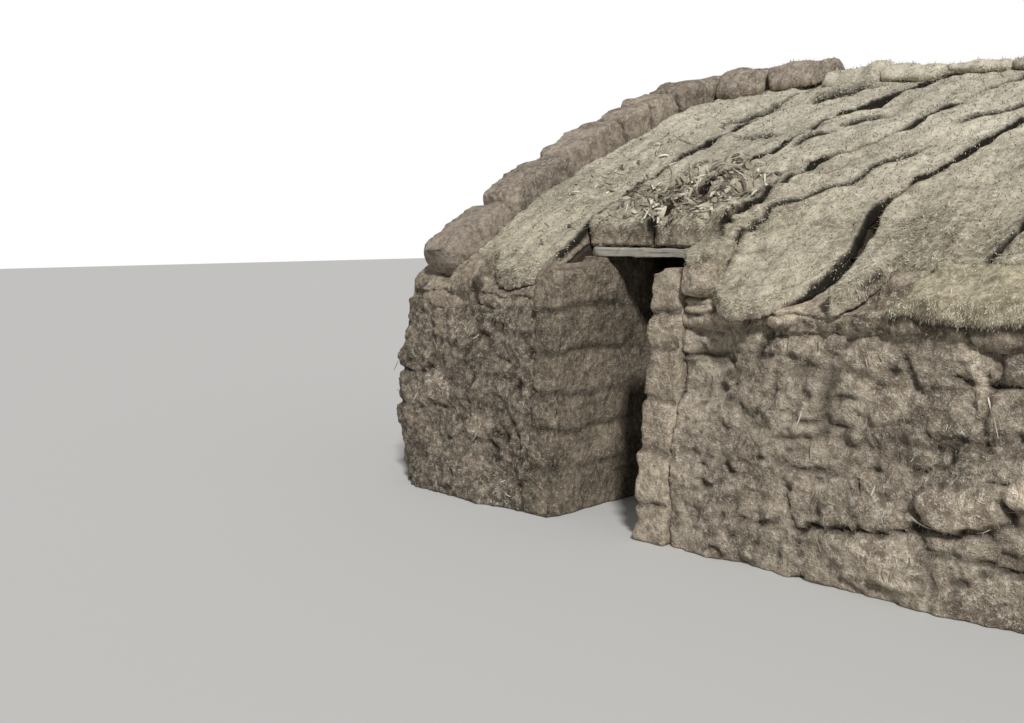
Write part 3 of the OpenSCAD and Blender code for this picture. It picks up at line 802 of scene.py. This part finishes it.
def shape_head(piece, side):
    mesh = piece.data
    points = points_of(mesh)
    across = side * points[:, 1]
    front = smooth_step(-2.58, -2.68, across)
    depth, up = on_slope(points, side)[1:]
    top = smooth_step(0.05, 0.02, depth)
    end_face = smooth_step(3.02, 3.10, np.abs(points[:, 0]))
    sway = 0.05 * bumps(points, 0.2, 101)
    column, left, right = between_joints((points[:, 0] + sway) / head_sod_length, 102)
    joint = band(np.minimum(left, right) * head_sod_length, 0.016)
    swell = 0.03 * (chance(column, 103) - 0.5) - 0.012 * joint + rough(points, 104, *head_bumps)
    # Under the grassy lip the sods fall back to the wall face
    lip_low = lip_height + rough(points, 112, *lip_bumps)
    under = smooth_step(lip_low + 0.006, lip_low - 0.006, points[:, 2]) * front
    grass_from = -0.21 + 0.45 * (points[:, 2] - 1.17) + 0.03 * bumps(points, 0.08, 114)
    covered = (side > 0) & (points[:, 0] < grass_from)
    bare = np.maximum(np.maximum(under, smooth_step(0.05, 0.07, depth) * (across > -2.56)),
                      smooth_step(0.03, 0.0, points[:, 0] - grass_from) * covered)
    recess = (covered & (points[:, 0] > -0.45)) * front * smooth_step(1.12, 1.18, points[:, 2])
    tuck = smooth_step(1.075 + 0.045 * bumps(points, (0.24, 9, 9), 115), 1.00,
                       points[:, 2]) * front
    flush = covered * front * (0.022 + 0.020 * bumps(points, (0.30, 9, 0.30), 116))
    tone = 0.2 + 0.6 * chance(column, 111)
    joint = joint * np.maximum(front, top)
    if side > 0:
        marked = (points[:, 0] < -0.27) & (front > 0)
        swell[marked], joint[marked], tone[marked] = shape_clods(
            points[marked], swell[marked], joint[marked], tone[marked], head_clods)
    points[:, 1] -= side * (front * swell - 0.035 * under - 0.04 * recess - 0.08 * tuck - flush)
    points[:, 0] += np.sign(points[:, 0]) * end_face * (0.6 * swell - 0.02 * under)
    sunk = 0.05 * covered * smooth_step(-0.50, -0.44, points[:, 0])
    points += up * (top * (rough(points, 107, (0.02, 0.25), (0.010, 0.08))
                           - sunk - 0.025 * smooth_step(-2.52, -2.44, across)))[:, None]
    # Roots bridge the joints of the grassy lip, and the head's top under the roof sods is painted
    # dark, as painted shade
    joint *= np.where(bare > 0.5, 1.0, 0.25)
    painted_shade_under_roof = (smooth_step(0.045, 0.07, depth) * smooth_step(-2.50, -2.44, across)
              * (np.abs(points[:, 0]) < 3.15))
    joint = np.maximum(joint, painted_shade_under_roof)
    move_points(mesh, points)
    note(mesh, "bare", bare)
    note(mesh, "nap", np.maximum(front, top) * (1 - bare))
    note(mesh, "roots", np.maximum(front, end_face) * bare)
    # Shade gathers right under the lip and under the roof's edge
    shade = band(points[:, 2] - lip_low + 0.02, 0.022) * under * (1 - covered)
    note(mesh, "joint", np.maximum(joint, 0.75 * shade))
    note(mesh, "tone", tone)
    thin_out(piece, (front < 0.02) & (top < 0.02) & (end_face < 0.02))


head_pieces = {}
for node, grain in (("front_head_left", head_grain), ("front_head_right", head_grain),
                    ("back_head", end_wall_grain)):
    points, faces = solid_of(node)
    # The head sods lap over the top of the wall's outer face
    lowest = points[:, 2] < points[:, 2].min() + 0.001
    points[lowest & (np.abs(points[:, 1]) > 2.3), 2] -= head_lap
    piece = fine_form(node + "_sods", points, faces, grain)
    shape_head(piece, 1 if node.startswith("front") else -1)
    dress(piece, head_finish, "grassy_sods", node)
    head_pieces[node] = piece

# The roof is made of long sod strips, laid grass side up from the eave to the ridge like
# narrow carpets. They have shrunk apart in dark wavy cracks, with curled and lapped edges.
roof_grain = 0.0145
back_roof_grain = 0.028
# Laps, where one layer lies on another: distance down from the ridge and x along the edge, then
# how high the edge stands, less than 0 where the layer on the left is the upper one
roof_laps = [([(2.85, -1.13), (2.62, -1.19), (2.31, -1.14), (2.05, -0.92), (1.83, -0.82),
               (1.60, -0.60)], -0.024),
             ([(2.75, -1.43), (2.60, -1.38), (2.50, -1.36)], 0.045),
             ([(0.72, -1.87), (0.50, -1.77), (0.35, -1.65), (0.25, -1.50)], -0.075),
             ([(1.10, -2.29), (0.98, -2.16), (0.70, -2.14), (0.50, -2.10), (0.35, -1.98)], -0.045),
             ([(1.33, -1.94), (1.25, -1.72)], -0.035), ([(1.77, -2.02), (1.72, -1.84)], -0.03),
             ([(1.60, -1.46), (1.45, -1.43), (1.30, -1.32)], -0.030),
             ([(1.24, -1.38), (1.12, -1.27), (1.02, -1.12)], -0.032),
             ([(1.36, -0.72), (1.16, -0.54), (0.95, -0.32)], -0.028),
             ([(2.4, 0.25), (1.6, 0.62), (0.8, 0.95), (0.2, 1.05)], 0.040),
             ([(2.5, 0.95), (1.4, 1.45), (0.3, 1.75)], -0.035),
             ([(2.2, 1.75), (1.2, 2.15), (-0.1, 2.35)], 0.040),
             ([(2.5, 2.35), (1.5, 2.55), (0.5, 2.65)], 0.035)]
# The sun has bleached the grass up the roof: its colour, from and to which height, and how much
roof_bleach = ((222, 214, 194), 1.5, 2.1, 0.26)
roof_finish = turf_finish(
    "Roof sods, grass side up", (113, 104, 87), (176, 167, 146), (218, 211, 192),
    (22, 18, 14), 0.96, (203, 195, 174), (120, 16, 60), 0.55, 0.016,
    ((104, 93, 80), (166, 152, 133), (216, 207, 189)), roof_bleach)
# Bumps of the strips, the last two stretched along them: how high and how wide
roof_bumps = ((0.030, (0.55, 0.9, 1)), (0.016, 0.24), (0.010, 0.10), (0.005, 0.05),
              (0.012, (0.10, 0.75, 1)), (0.005, (0.045, 0.35, 1)))
# How far the strips beside the wide crack draw back from it
wide_crack_sides = {4: -0.006, 5: 0.006}
# How far down from the ridge the cracks stay dark, and the wide one
dark_down_to = 2.45
wide_dark_down_to = 2.95
# Width of the curled lips along the strips' edges, and of the dark line in the cracks
lip_width = 0.045
crack_line = 0.017
outline_step = 0.03
# Distance down from the ridge at which the strips pass the wall's head and hang over it
hangs_from = 2.62
# Middle and half size of the torn place over the doorway: x, and down from the ridge
torn_middle = (-1.55, 2.25)
torn_half = (0.62, 0.55)


def edge_of(values, at, step, pick):
    """The outline of a strip: the least or greatest value in each step along it."""
    bins = np.floor((at - at.min()) / step).astype(int)
    outline = np.full(bins.max() + 1, -pick * np.inf)
    (np.maximum if pick > 0 else np.minimum).at(outline, bins, values)
    known = np.isfinite(outline)
    centres = at.min() + (np.arange(len(outline)) + 0.5) * step
    return np.interp(at, centres[known], outline[known])


def add_laps(sheet, relief, joint):
    """Adds the raised edges where one layer of sods lies on another."""
    across, down = sheet[:, 0], sheet[:, 1]
    for line, height in roof_laps:
        downs, places = np.array(line[::-1]).T
        edge = (np.interp(down, downs, places)
                + rough(sheet * [0, 1, 0], 161, (0.016, 0.22), (0.008, 0.08)))
        ease = min(0.12, 0.3 * (downs[-1] - downs[0]))
        length = (smooth_step(downs[0] - 0.02, downs[0] + ease, down)
                  * smooth_step(downs[-1] + 0.02, downs[-1] - ease, down))
        over = (across - edge) * np.sign(height)
        step = smooth_step(-0.010, 0.010, over) * np.exp(-np.maximum(over, 0) / 0.20)
        relief += abs(height) * length * (step - 0.15 * np.exp(-np.abs(over) / 0.20))
        # At the foot of each raised edge a dark line is painted on the lower layer: partly the
        # joint between the layers, partly painted shade from the step.
        joint = np.maximum(joint, length * band(over + 0.010, 0.016))
    return relief, joint


def add_tears(sheet, relief, joint):
    """Folds and tears the short sods over the doorway."""
    torn = (band(sheet[:, 0] - torn_middle[0], torn_half[0])
            * band(sheet[:, 1] - torn_middle[1], torn_half[1]))
    folds = 1 - 2 * np.abs(bumps(sheet, (0.34, 0.15, 1), 140))
    relief += torn * (0.050 * folds + 0.026 * bumps(sheet, 0.09, 141))
    # The hollows of the folds are painted dark, as painted shade.
    return relief, np.maximum(joint, torn * smooth_step(0.15, -0.45, folds) * 0.60)


def shape_strip(piece, side, number, seed):
    mesh = piece.data
    points = points_of(mesh)
    flipped = points * np.array([side, side, 1.0])
    down, depth, up = on_slope(points, side)
    from_left = flipped[:, 0] - edge_of(flipped[:, 0], down, outline_step, -1)
    from_right = edge_of(flipped[:, 0], down, outline_step, 1) - flipped[:, 0]
    from_low = edge_of(down, flipped[:, 0], outline_step, 1) - down
    from_side = np.minimum(from_left, from_right)
    sheet = np.stack([flipped[:, 0], down, np.zeros(len(points))], axis=1)
    top = smooth_step(0.062, 0.030, depth)
    relief = rough(sheet, seed, *roof_bumps)
    lip = 0.013 + 0.013 * bumps(sheet, 0.30, seed + 6)
    # The right edge of each strip stands over the next one, and its face lies in shade
    if side > 0 and number == 3:
        lip = (0.022 + 0.010 * bumps(sheet, 0.20, seed + 6)) * smooth_step(0.75, 1.35, down)
    left_share, left_cut = (1.6, 0.036) if number == 5 else (0.1, 0.020)
    relief += lip * (band(from_right, lip_width) + left_share * band(from_left, lip_width))
    relief -= 0.012 * band(from_right, 0.013) + left_cut * band(from_left, 0.018)
    relief += 0.022 * band(from_low - 0.04, 0.05) - 0.035 * band(from_low, 0.016)
    joint = band(from_side, crack_line)
    if side > 0:
        relief, joint = add_laps(sheet, relief, joint)
        relief, joint = add_tears(sheet, relief, joint)
        # Tips that hang over the wall are thinner
        relief -= 0.022 * smooth_step(0.30, 0.0, from_low) * (down > 2.45)
    points += up * (relief * top)[:, None]
    fringe = smooth_step(0.10, 0.0, from_side)
    points[:, 0] += side * fringe * rough(sheet, seed + 9, (0.012, 0.14), (0.006, 0.045))
    # The wide crack opens towards the eave
    dark_to = np.full(len(points), dark_down_to)
    if side > 0 and number in wide_crack_sides:
        beside_crack = from_right if wide_crack_sides[number] < 0 else from_left
        points[:, 0] += (wide_crack_sides[number] * smooth_step(0.12, 0.0, beside_crack)
                         * smooth_step(1.6, 2.5, down))
        dark_to[beside_crack < 0.05] = wide_dark_down_to
    # The faces in the cracks lie in deep shade
    in_crack = (smooth_step(0.030, 0.014, from_side) * smooth_step(0.008, 0.022, depth)
                * smooth_step(dark_to + 0.10, dark_to, down))
    # A dark line is painted along each strip's lower edge, as the shadow where it lies on what is
    # below.
    low_edge_shadow = band(from_low, 0.016) * (down < hangs_from)
    note(mesh, "joint", np.maximum(np.maximum(joint, low_edge_shadow) * top, in_crack))
    move_points(mesh, points)
    # The grass wraps round the ends that hang over the wall
    wrap = 0.030 * smooth_step(2.55, 2.70, down)
    note(mesh, "bare", smooth_step(0.014, 0.034, depth - wrap))
    note(mesh, "nap", smooth_step(0.045, 0.02, depth - wrap)
         * np.where(down > hangs_from, 1.0, smooth_step(0.004, 0.022, from_side)
                    * smooth_step(0.0, 0.02, from_low)))
    # Litter lies thickest over the doorway and thins out along the verge
    heap = band(flipped[:, 0] + 1.75, 0.34) * band(down - 2.15, 0.26)
    trail = 0.16 * band(flipped[:, 0] + 2.45, 0.28) * band(down - 1.75, 0.50)
    note(mesh, "litter", (heap + trail) * (depth < 0.02))
    note(mesh, "tone", 0.25 + 0.5 * chance(number, 3, seed)
         + 0.25 * bumps(sheet, (0.3, 1.2, 1), seed + 11))
    thin_out(piece, top < 0.01)


roof_pieces = {}
for side, name, grain in ((1, "front", roof_grain), (-1, "back", back_roof_grain)):
    for number in range(1, 10):
        node = "%s_roof_sod_%d" % (name, number)
        piece = fine_form(node + "_turf", *solid_of(node), grain)
        shape_strip(piece, side, number, 150 + 13 * number + (0 if side > 0 else 7))
        dress(piece, roof_finish, "roof_sods", node)
        roof_pieces[node] = piece

# Thick dark peat blocks hold the roof down along both verges. They are cut with a spade, and
# have dried, cracked and rounded, each lying a little askew.
verge_grain = 0.029
block_bumps = ((0.030, 0.26), (0.016, 0.11), (0.008, 0.05))
block_finish = turf_finish(
    "Peat blocks", (98, 88, 77), (154, 142, 127), (196, 185, 169),
    (34, 29, 24), 0.8, (174, 162, 145), (50, 50, 120), 0.3, 0.014)


def solids_in(node):
    """The separate solids of a node, each as points and faces."""
    points, faces = solid_of(node)
    keys, home = np.unique(np.round(points, 5), axis=0, return_inverse=True)
    home = home.ravel()
    owner = list(range(len(keys)))

    def root(i):
        while owner[i] != i:
            owner[i] = owner[owner[i]]
            i = owner[i]
        return i

    for face in faces:
        for a, b in zip(face, face[1:]):
            owner[root(home[a])] = root(home[b])
    parts = {}
    for face in faces:
        parts.setdefault(root(home[face[0]]), []).append([home[v] for v in face])
    result = []
    for part in parts.values():
        used = sorted({v for face in part for v in face})
        index = {v: i for i, v in enumerate(used)}
        result.append((keys[used], [tuple(index[v] for v in face) for face in part]))
    return sorted(result, key=lambda part: tuple(part[0].mean(axis=0)))


def clod_mesh(name, parts, grain, seed, askew, swell):
    """Blocks in one mesh, each remade, tilted, rounded and roughened."""
    rng = np.random.default_rng(seed)
    all_points, all_faces, all_tones, count = [], [], [], 0
    for points, faces in parts:
        block = fine_form("block", points, faces, grain)
        shape = points_of(block.data)
        facing = normals_of(block.data)
        middle = shape.mean(axis=0)
        half = (shape.max(axis=0) - shape.min(axis=0)) / 2
        inner = (shape - middle) / half
        rounding = np.clip((np.abs(inner) ** 4).sum(axis=1) - 1, 0, 1.5)
        shape -= (shape - middle) * (0.10 * rounding)[:, None]
        shape += facing * (swell * rough(shape, seed, *block_bumps))[:, None]
        tilt = rng.normal(0, askew, 3)
        turned = shape - middle
        turned = turned + np.cross(tilt, turned)
        shift = rng.uniform(-1, 1, 3) * [0.012, 0.012, 0.016]
        all_points.append(turned + middle + shift)
        all_faces.append(quads_of(block.data) + count)
        all_tones.append(np.full(len(shape), rng.uniform(0.1, 0.9)))
        count += len(shape)
        bpy.data.objects.remove(block)
    mesh = bpy.data.meshes.new(name)
    mesh.from_pydata(np.concatenate(all_points).tolist(), [], np.concatenate(all_faces).tolist())
    note(mesh, "joint", np.zeros(count))
    note(mesh, "bare", np.zeros(count))
    note(mesh, "nap", np.ones(count))
    note(mesh, "tone", np.concatenate(all_tones))
    mesh.shade_smooth()
    return put(name, mesh)


def joined(first, second):
    return (np.concatenate([first[0], second[0]]),
            first[1] + [tuple(v + len(first[0]) for v in face) for face in second[1]])


for node, seed in (("left_verge_blocks", 301), ("right_verge_blocks", 311)):
    parts = sorted(solids_in(node), key=lambda part: part[0][:, 1].mean())
    runs = []
    rng = np.random.default_rng(seed)
    while parts:
        run = parts.pop(0)
        if parts and rng.random() < 0.6:
            run = joined(run, parts.pop(0))
        runs.append(run)
    piece = clod_mesh(node + "_peat", runs, verge_grain, seed, 0.025, 0.75)
    dress(piece, block_finish, "peat_blocks", node)

# A torn fold of roof sod hangs down beside the doorway and hides the right end of the lintel.
# It lies on one more wall sod, beside the top of the jamb.
fold_grain = 0.011
fold_corners = [(-1.235, -2.745, 1.325), (-1.15, -2.745, 1.32), (-1.17, -2.40, 1.33),
                (-1.315, -2.40, 1.33), (-1.25, -2.71, 1.400), (-1.15, -2.71, 1.390),
                (-1.17, -2.40, 1.455), (-1.325, -2.40, 1.465)]
wedge_corners = [(-1.27, -2.75, 1.19), (-1.13, -2.75, 1.19), (-1.13, -2.46, 1.19),
                 (-1.27, -2.46, 1.19), (-1.27, -2.73, 1.325), (-1.13, -2.73, 1.325),
                 (-1.13, -2.46, 1.33), (-1.27, -2.46, 1.33)]
box_faces = [(0, 3, 2, 1), (0, 1, 5, 4), (4, 5, 6, 7), (0, 4, 7, 3), (1, 2, 6, 5), (2, 3, 7, 6)]
fold = clod_mesh("doorway_fold", [(np.array(fold_corners), box_faces)], fold_grain, 351,
                 0.02, 0.9)
dress(fold, roof_finish, "roof_sods")
wedge = clod_mesh("doorway_wedge_sod", [(np.array(wedge_corners), box_faces)], fold_grain, 352,
                  0.02, 0.9)
dress(wedge, jamb_finish, "wall_sods")

# Saddle sods close the ridge. Those nearest the doorway end are thick dark peat blocks, and the
# rest are thinner sods laid grass side up.
ridge_block_grain = 0.022
ridge_sod_grain = 0.029
# The peat blocks reach above this height
thick_top = 2.56
parts = sorted(solids_in("ridge_sods"), key=lambda part: part[0][:, 0].mean())
thick = [part for part in parts if part[0][:, 2].max() > thick_top]
thin_ones = [part for part in parts if part[0][:, 2].max() <= thick_top]
thick_piece = clod_mesh("ridge_peat_blocks", thick, ridge_block_grain, 331, 0.04, 1.0)
thin_piece = clod_mesh("ridge_grass_sods", thin_ones, ridge_sod_grain, 341, 0.03, 1.0)
dress(thick_piece, block_finish, "peat_blocks", "ridge_sods")
dress(thin_piece, roof_finish, "roof_sods", "ridge_sods")

# Dead grass covers the sods that lie grass side up. It is a short grey-brown nap that lies down
# the slope, longer and ragged along the edges, with loose root fibres on the cut faces.
root_depth = 0.004
# Screen colours of a blade's root, of the darkest blades and of the palest
blade_colours = {
    "roof": ((132, 123, 104), (184, 175, 152), (222, 215, 196)),
    "ledge": ((150, 141, 118), (198, 190, 166), (230, 224, 205)),
    "wall": ((96, 86, 74), (156, 144, 126), (198, 188, 170)),
    "peat": ((92, 83, 72), (146, 134, 119), (180, 169, 152))}


def strand_finish(name, roughness, gloss):
    """A finish for strands, with each one's own shade and the distance along it."""
    finish, tree, shader = new_finish(name, roughness, gloss)
    spot = tree.nodes.new("ShaderNodeUVMap")
    spot.uv_map = "OFBake"
    parts = tree.nodes.new("ShaderNodeSeparateXYZ")
    tree.links.new(spot.outputs["UV"], parts.inputs["Vector"])
    return finish, tree, shader, parts.outputs["X"], parts.outputs["Y"]


blade_finishes = {}
for kind, colours in blade_colours.items():
    root, dark, pale = (tint(*colour) for colour in colours)
    finish, tree, shader, shade, along = strand_finish("Dead grass, " + kind, 0.9, 0.15)
    body = blend(tree, level(tree, shade, 0.0, 1.0), dark, pale)
    body = blend(tree, level(tree, along, 0.55, 0.0), body, root)
    tree.links.new(body, shader.inputs["Base Color"])
    blade_finishes[kind] = finish


def spots_on(piece, where, per_square_metre, seed):
    """Random spots on a piece, as thick as the named values say, with the way out from each."""
    mesh = piece.data
    mesh.calc_loop_triangles()
    corners = np.empty(len(mesh.loop_triangles) * 3, np.int32)
    mesh.loop_triangles.foreach_get("vertices", corners)
    corners = corners.reshape(-1, 3)
    points = points_of(mesh)
    facing = normals_of(mesh)
    growth = np.empty(len(points), np.float32)
    mesh.attributes[where].data.foreach_get("value", growth)
    a, b, c = (points[corners[:, i]] for i in range(3))
    area = np.linalg.norm(np.cross(b - a, c - a), axis=1) / 2
    area = area * growth[corners].astype(float).mean(axis=1)
    rng = np.random.default_rng(seed)
    count = int(area.sum() * per_square_metre)
    pick = rng.choice(len(corners), count, p=area / area.sum())
    u, v = rng.random((2, count, 1))
    over = (u + v) > 1
    u, v = np.where(over, 1 - u, u), np.where(over, 1 - v, v)
    spots = a[pick] + (b[pick] - a[pick]) * u + (c[pick] - a[pick]) * v
    out = facing[corners[pick]].mean(axis=1)
    return spots, out / np.linalg.norm(out, axis=1)[:, None], rng


def unit(vectors):
    return vectors / np.maximum(np.linalg.norm(vectors, axis=1), 1e-9)[:, None]


def strand_piece(name, points, faces, uv):
    """Strands in one mesh, with the map that gives each its shade."""
    mesh = bpy.data.meshes.new(name)
    mesh.from_pydata(points.tolist(), [], faces.tolist())
    mesh.uv_layers.new(name="OFBake").data.foreach_set("uv", uv.astype(np.float32).ravel())
    mesh.shade_smooth()
    return put(name, mesh)


def grow_nap(piece, kind, slot, per_square_metre, lean, lift, spread, lengths, width, seed,
             where="nap"):
    """Covers a piece with blades, each one narrow triangle that leans its own way."""
    spots, out, rng = spots_on(piece, where, per_square_metre, seed)
    count = len(spots)
    way = unit(np.asarray(lean, float) + out * lift + rng.normal(0, spread, (count, 3)))
    way = unit(way - out * np.minimum((way * out).sum(axis=1), 0)[:, None] + out * 0.10)
    side = unit(np.cross(way, out))
    length = rng.uniform(*lengths, (count, 1))
    half = width * rng.uniform(0.35, 0.65, (count, 1))
    foot = spots - out * root_depth
    corners = np.stack([foot - side * half, foot + side * half, foot + way * length], axis=1)
    corners[:, :, 2] = np.maximum(corners[:, :, 2], 0.001)
    shade = rng.random((count, 1))
    uv = np.stack([np.hstack([shade * 0.96 + across, shade * 0 + along])
                   for across, along in ((0.01, 0.02), (0.03, 0.02), (0.02, 0.98))], axis=1)
    nap = strand_piece(piece.name + "_" + where, corners.reshape(-1, 3),
                       np.arange(count * 3).reshape(-1, 3), uv)
    soft = unit(out + rng.normal(0, 0.22, (count, 3)))
    nap.data.normals_split_custom_set_from_vertices(np.repeat(soft, 3, axis=0).tolist())
    dress(nap, blade_finishes[kind], slot)


for node, piece in roof_pieces.items():
    front = node.startswith("front")
    grow_nap(piece, "roof", "roof_sods", 6000 if front else 2500,
             (0.0, -0.8 if front else 0.8, -0.35), 0.12, 0.40,
             (0.012, 0.034) if front else (0.02, 0.045), 0.006 if front else 0.010,
             400 + len(node) + int(node[-1]) * 2 + front)
for node, piece in head_pieces.items():
    front = node.startswith("front")
    # The head course left of the doorway shows bare sods only
    if node != "front_head_left":
        grow_nap(piece, "ledge", "grassy_sods", 10000 if front else 4000,
                 (0.0, -0.15 if front else 0.15, -0.9), 0.10, 0.38, (0.010, 0.030), 0.005, 430)
    grow_nap(piece, "wall", "wall_sods", 2800 if front else 900, (0.0, 0.0, -0.6), 0.25, 0.6,
             (0.010, 0.026), 0.0045 if front else 0.008, 431, "roots")
grow_nap(fold, "roof", "roof_sods", 6000, (0.0, -0.6, -0.5), 0.12, 0.40, (0.012, 0.034),
         0.006, 439)
grow_nap(thin_piece, "roof", "roof_sods", 3000, (0.0, 0.0, -0.3), 0.2, 0.55, (0.015, 0.04),
         0.0065, 440)
grow_nap(thick_piece, "peat", "peat_blocks", 3000, (0.0, 0.0, -0.3), 0.3, 0.6, (0.012, 0.028),
         0.006, 441)
for node, piece in wall_pieces.items():
    dense = node in ("front_wall_right", "front_wall_left", "left_jamb", "right_jamb")
    grow_nap(piece, "wall", "wall_sods", 2200 if dense else 900, (0.0, 0.0, -0.6), 0.20, 0.6,
             (0.008, 0.020), 0.0040 if dense else 0.008, 450 + len(node))

# Over the doorway lies a litter of dried roots, curled bark and twigs, torn out of the sods.
# Loose root ends hang from the walls too. Each piece is a thin curled strip.
litter_finish, tree, shader, shade, along = strand_finish("Dried roots and bark", 0.85, 0.5)
body = blend(tree, level(tree, shade, 0.0, 0.6), tint(58, 50, 41), tint(148, 137, 117))
body = blend(tree, level(tree, shade, 0.6, 1.0), body, tint(214, 207, 190))
tree.links.new(body, shader.inputs["Base Color"])
strip_lengths = 4


def curled_strips(name, spots, out, lean, lengths, widths, arch, rng, slot):
    """Thin strips that lie on a surface and curl up off it, each in four short lengths."""
    count = len(spots)
    way = unit(np.asarray(lean, float) + rng.normal(0, 0.8, (count, 3)))
    way = unit(way - out * (way * out).sum(axis=1)[:, None])
    side = np.cross(way, out)
    length = rng.uniform(*lengths, (count, 1)) * rng.uniform(0.5, 1.0, (count, 1))
    half = rng.uniform(*widths, (count, 1)) / 2
    bend = rng.normal(0, 0.25, (count, 1)) * length
    height = rng.uniform(0.15, 1.0, (count, 1)) * arch * length
    twist = rng.normal(0, 0.9, (count, 1))
    rows = []
    for i in range(strip_lengths + 1):
        t = i / strip_lengths
        middle = (spots + way * length * (t - 0.3) + side * bend * t * t
                  + out * (height * math.sin(math.pi * (0.15 + 0.75 * t)) + 0.004))
        turn = twist * (t - 0.3)
        flat = side * np.cos(turn) + out * np.sin(turn)
        taper = half * (0.35 + 0.65 * math.sin(math.pi * (0.15 + 0.7 * t)))
        rows.append(np.stack([middle - flat * taper, middle + flat * taper], axis=1))
    points = np.stack(rows, axis=1).reshape(-1, 3)
    first = (np.arange(count)[:, None] * (strip_lengths + 1) * 2
             + np.arange(strip_lengths)[None, :] * 2)
    quads = np.stack([first, first + 1, first + 3, first + 2], axis=2).reshape(-1, 4)
    own_shade = np.repeat(rng.random(count) * 0.98 + 0.01, strip_lengths * 4)
    uv = np.stack([own_shade, np.tile([0.01, 0.01, 0.02, 0.02], count * strip_lengths)], axis=1)
    dress(strand_piece(name, points, quads, uv), litter_finish, slot)


for number, density in ((1, 700), (2, 1500), (3, 1500)):
    piece = roof_pieces["front_roof_sod_%d" % number]
    spots, out, rng = spots_on(piece, "litter", density, 500 + number)
    curled_strips("dried_roots_%d" % number, spots, out, (0.5, -0.6, -0.3), (0.04, 0.12),
                  (0.005, 0.024), 0.30, rng, "brushwood")
    spots, out, rng = spots_on(piece, "litter", density * 0.05, 510 + number)
    curled_strips("twigs_%d" % number, spots, out, (1.2, -1.6, -0.8), (0.20, 0.45),
                  (0.005, 0.009), 0.05, rng, "brushwood")
for node, density in (("front_wall_right", 22), ("front_wall_left", 26)):
    spots, out, rng = spots_on(wall_pieces[node], "nap", density, 520 + density)
    curled_strips(node + "_loose_roots", spots, out, (0.2, 0.0, -1.5), (0.03, 0.10),
                  (0.003, 0.008), 0.12, rng, "brushwood")
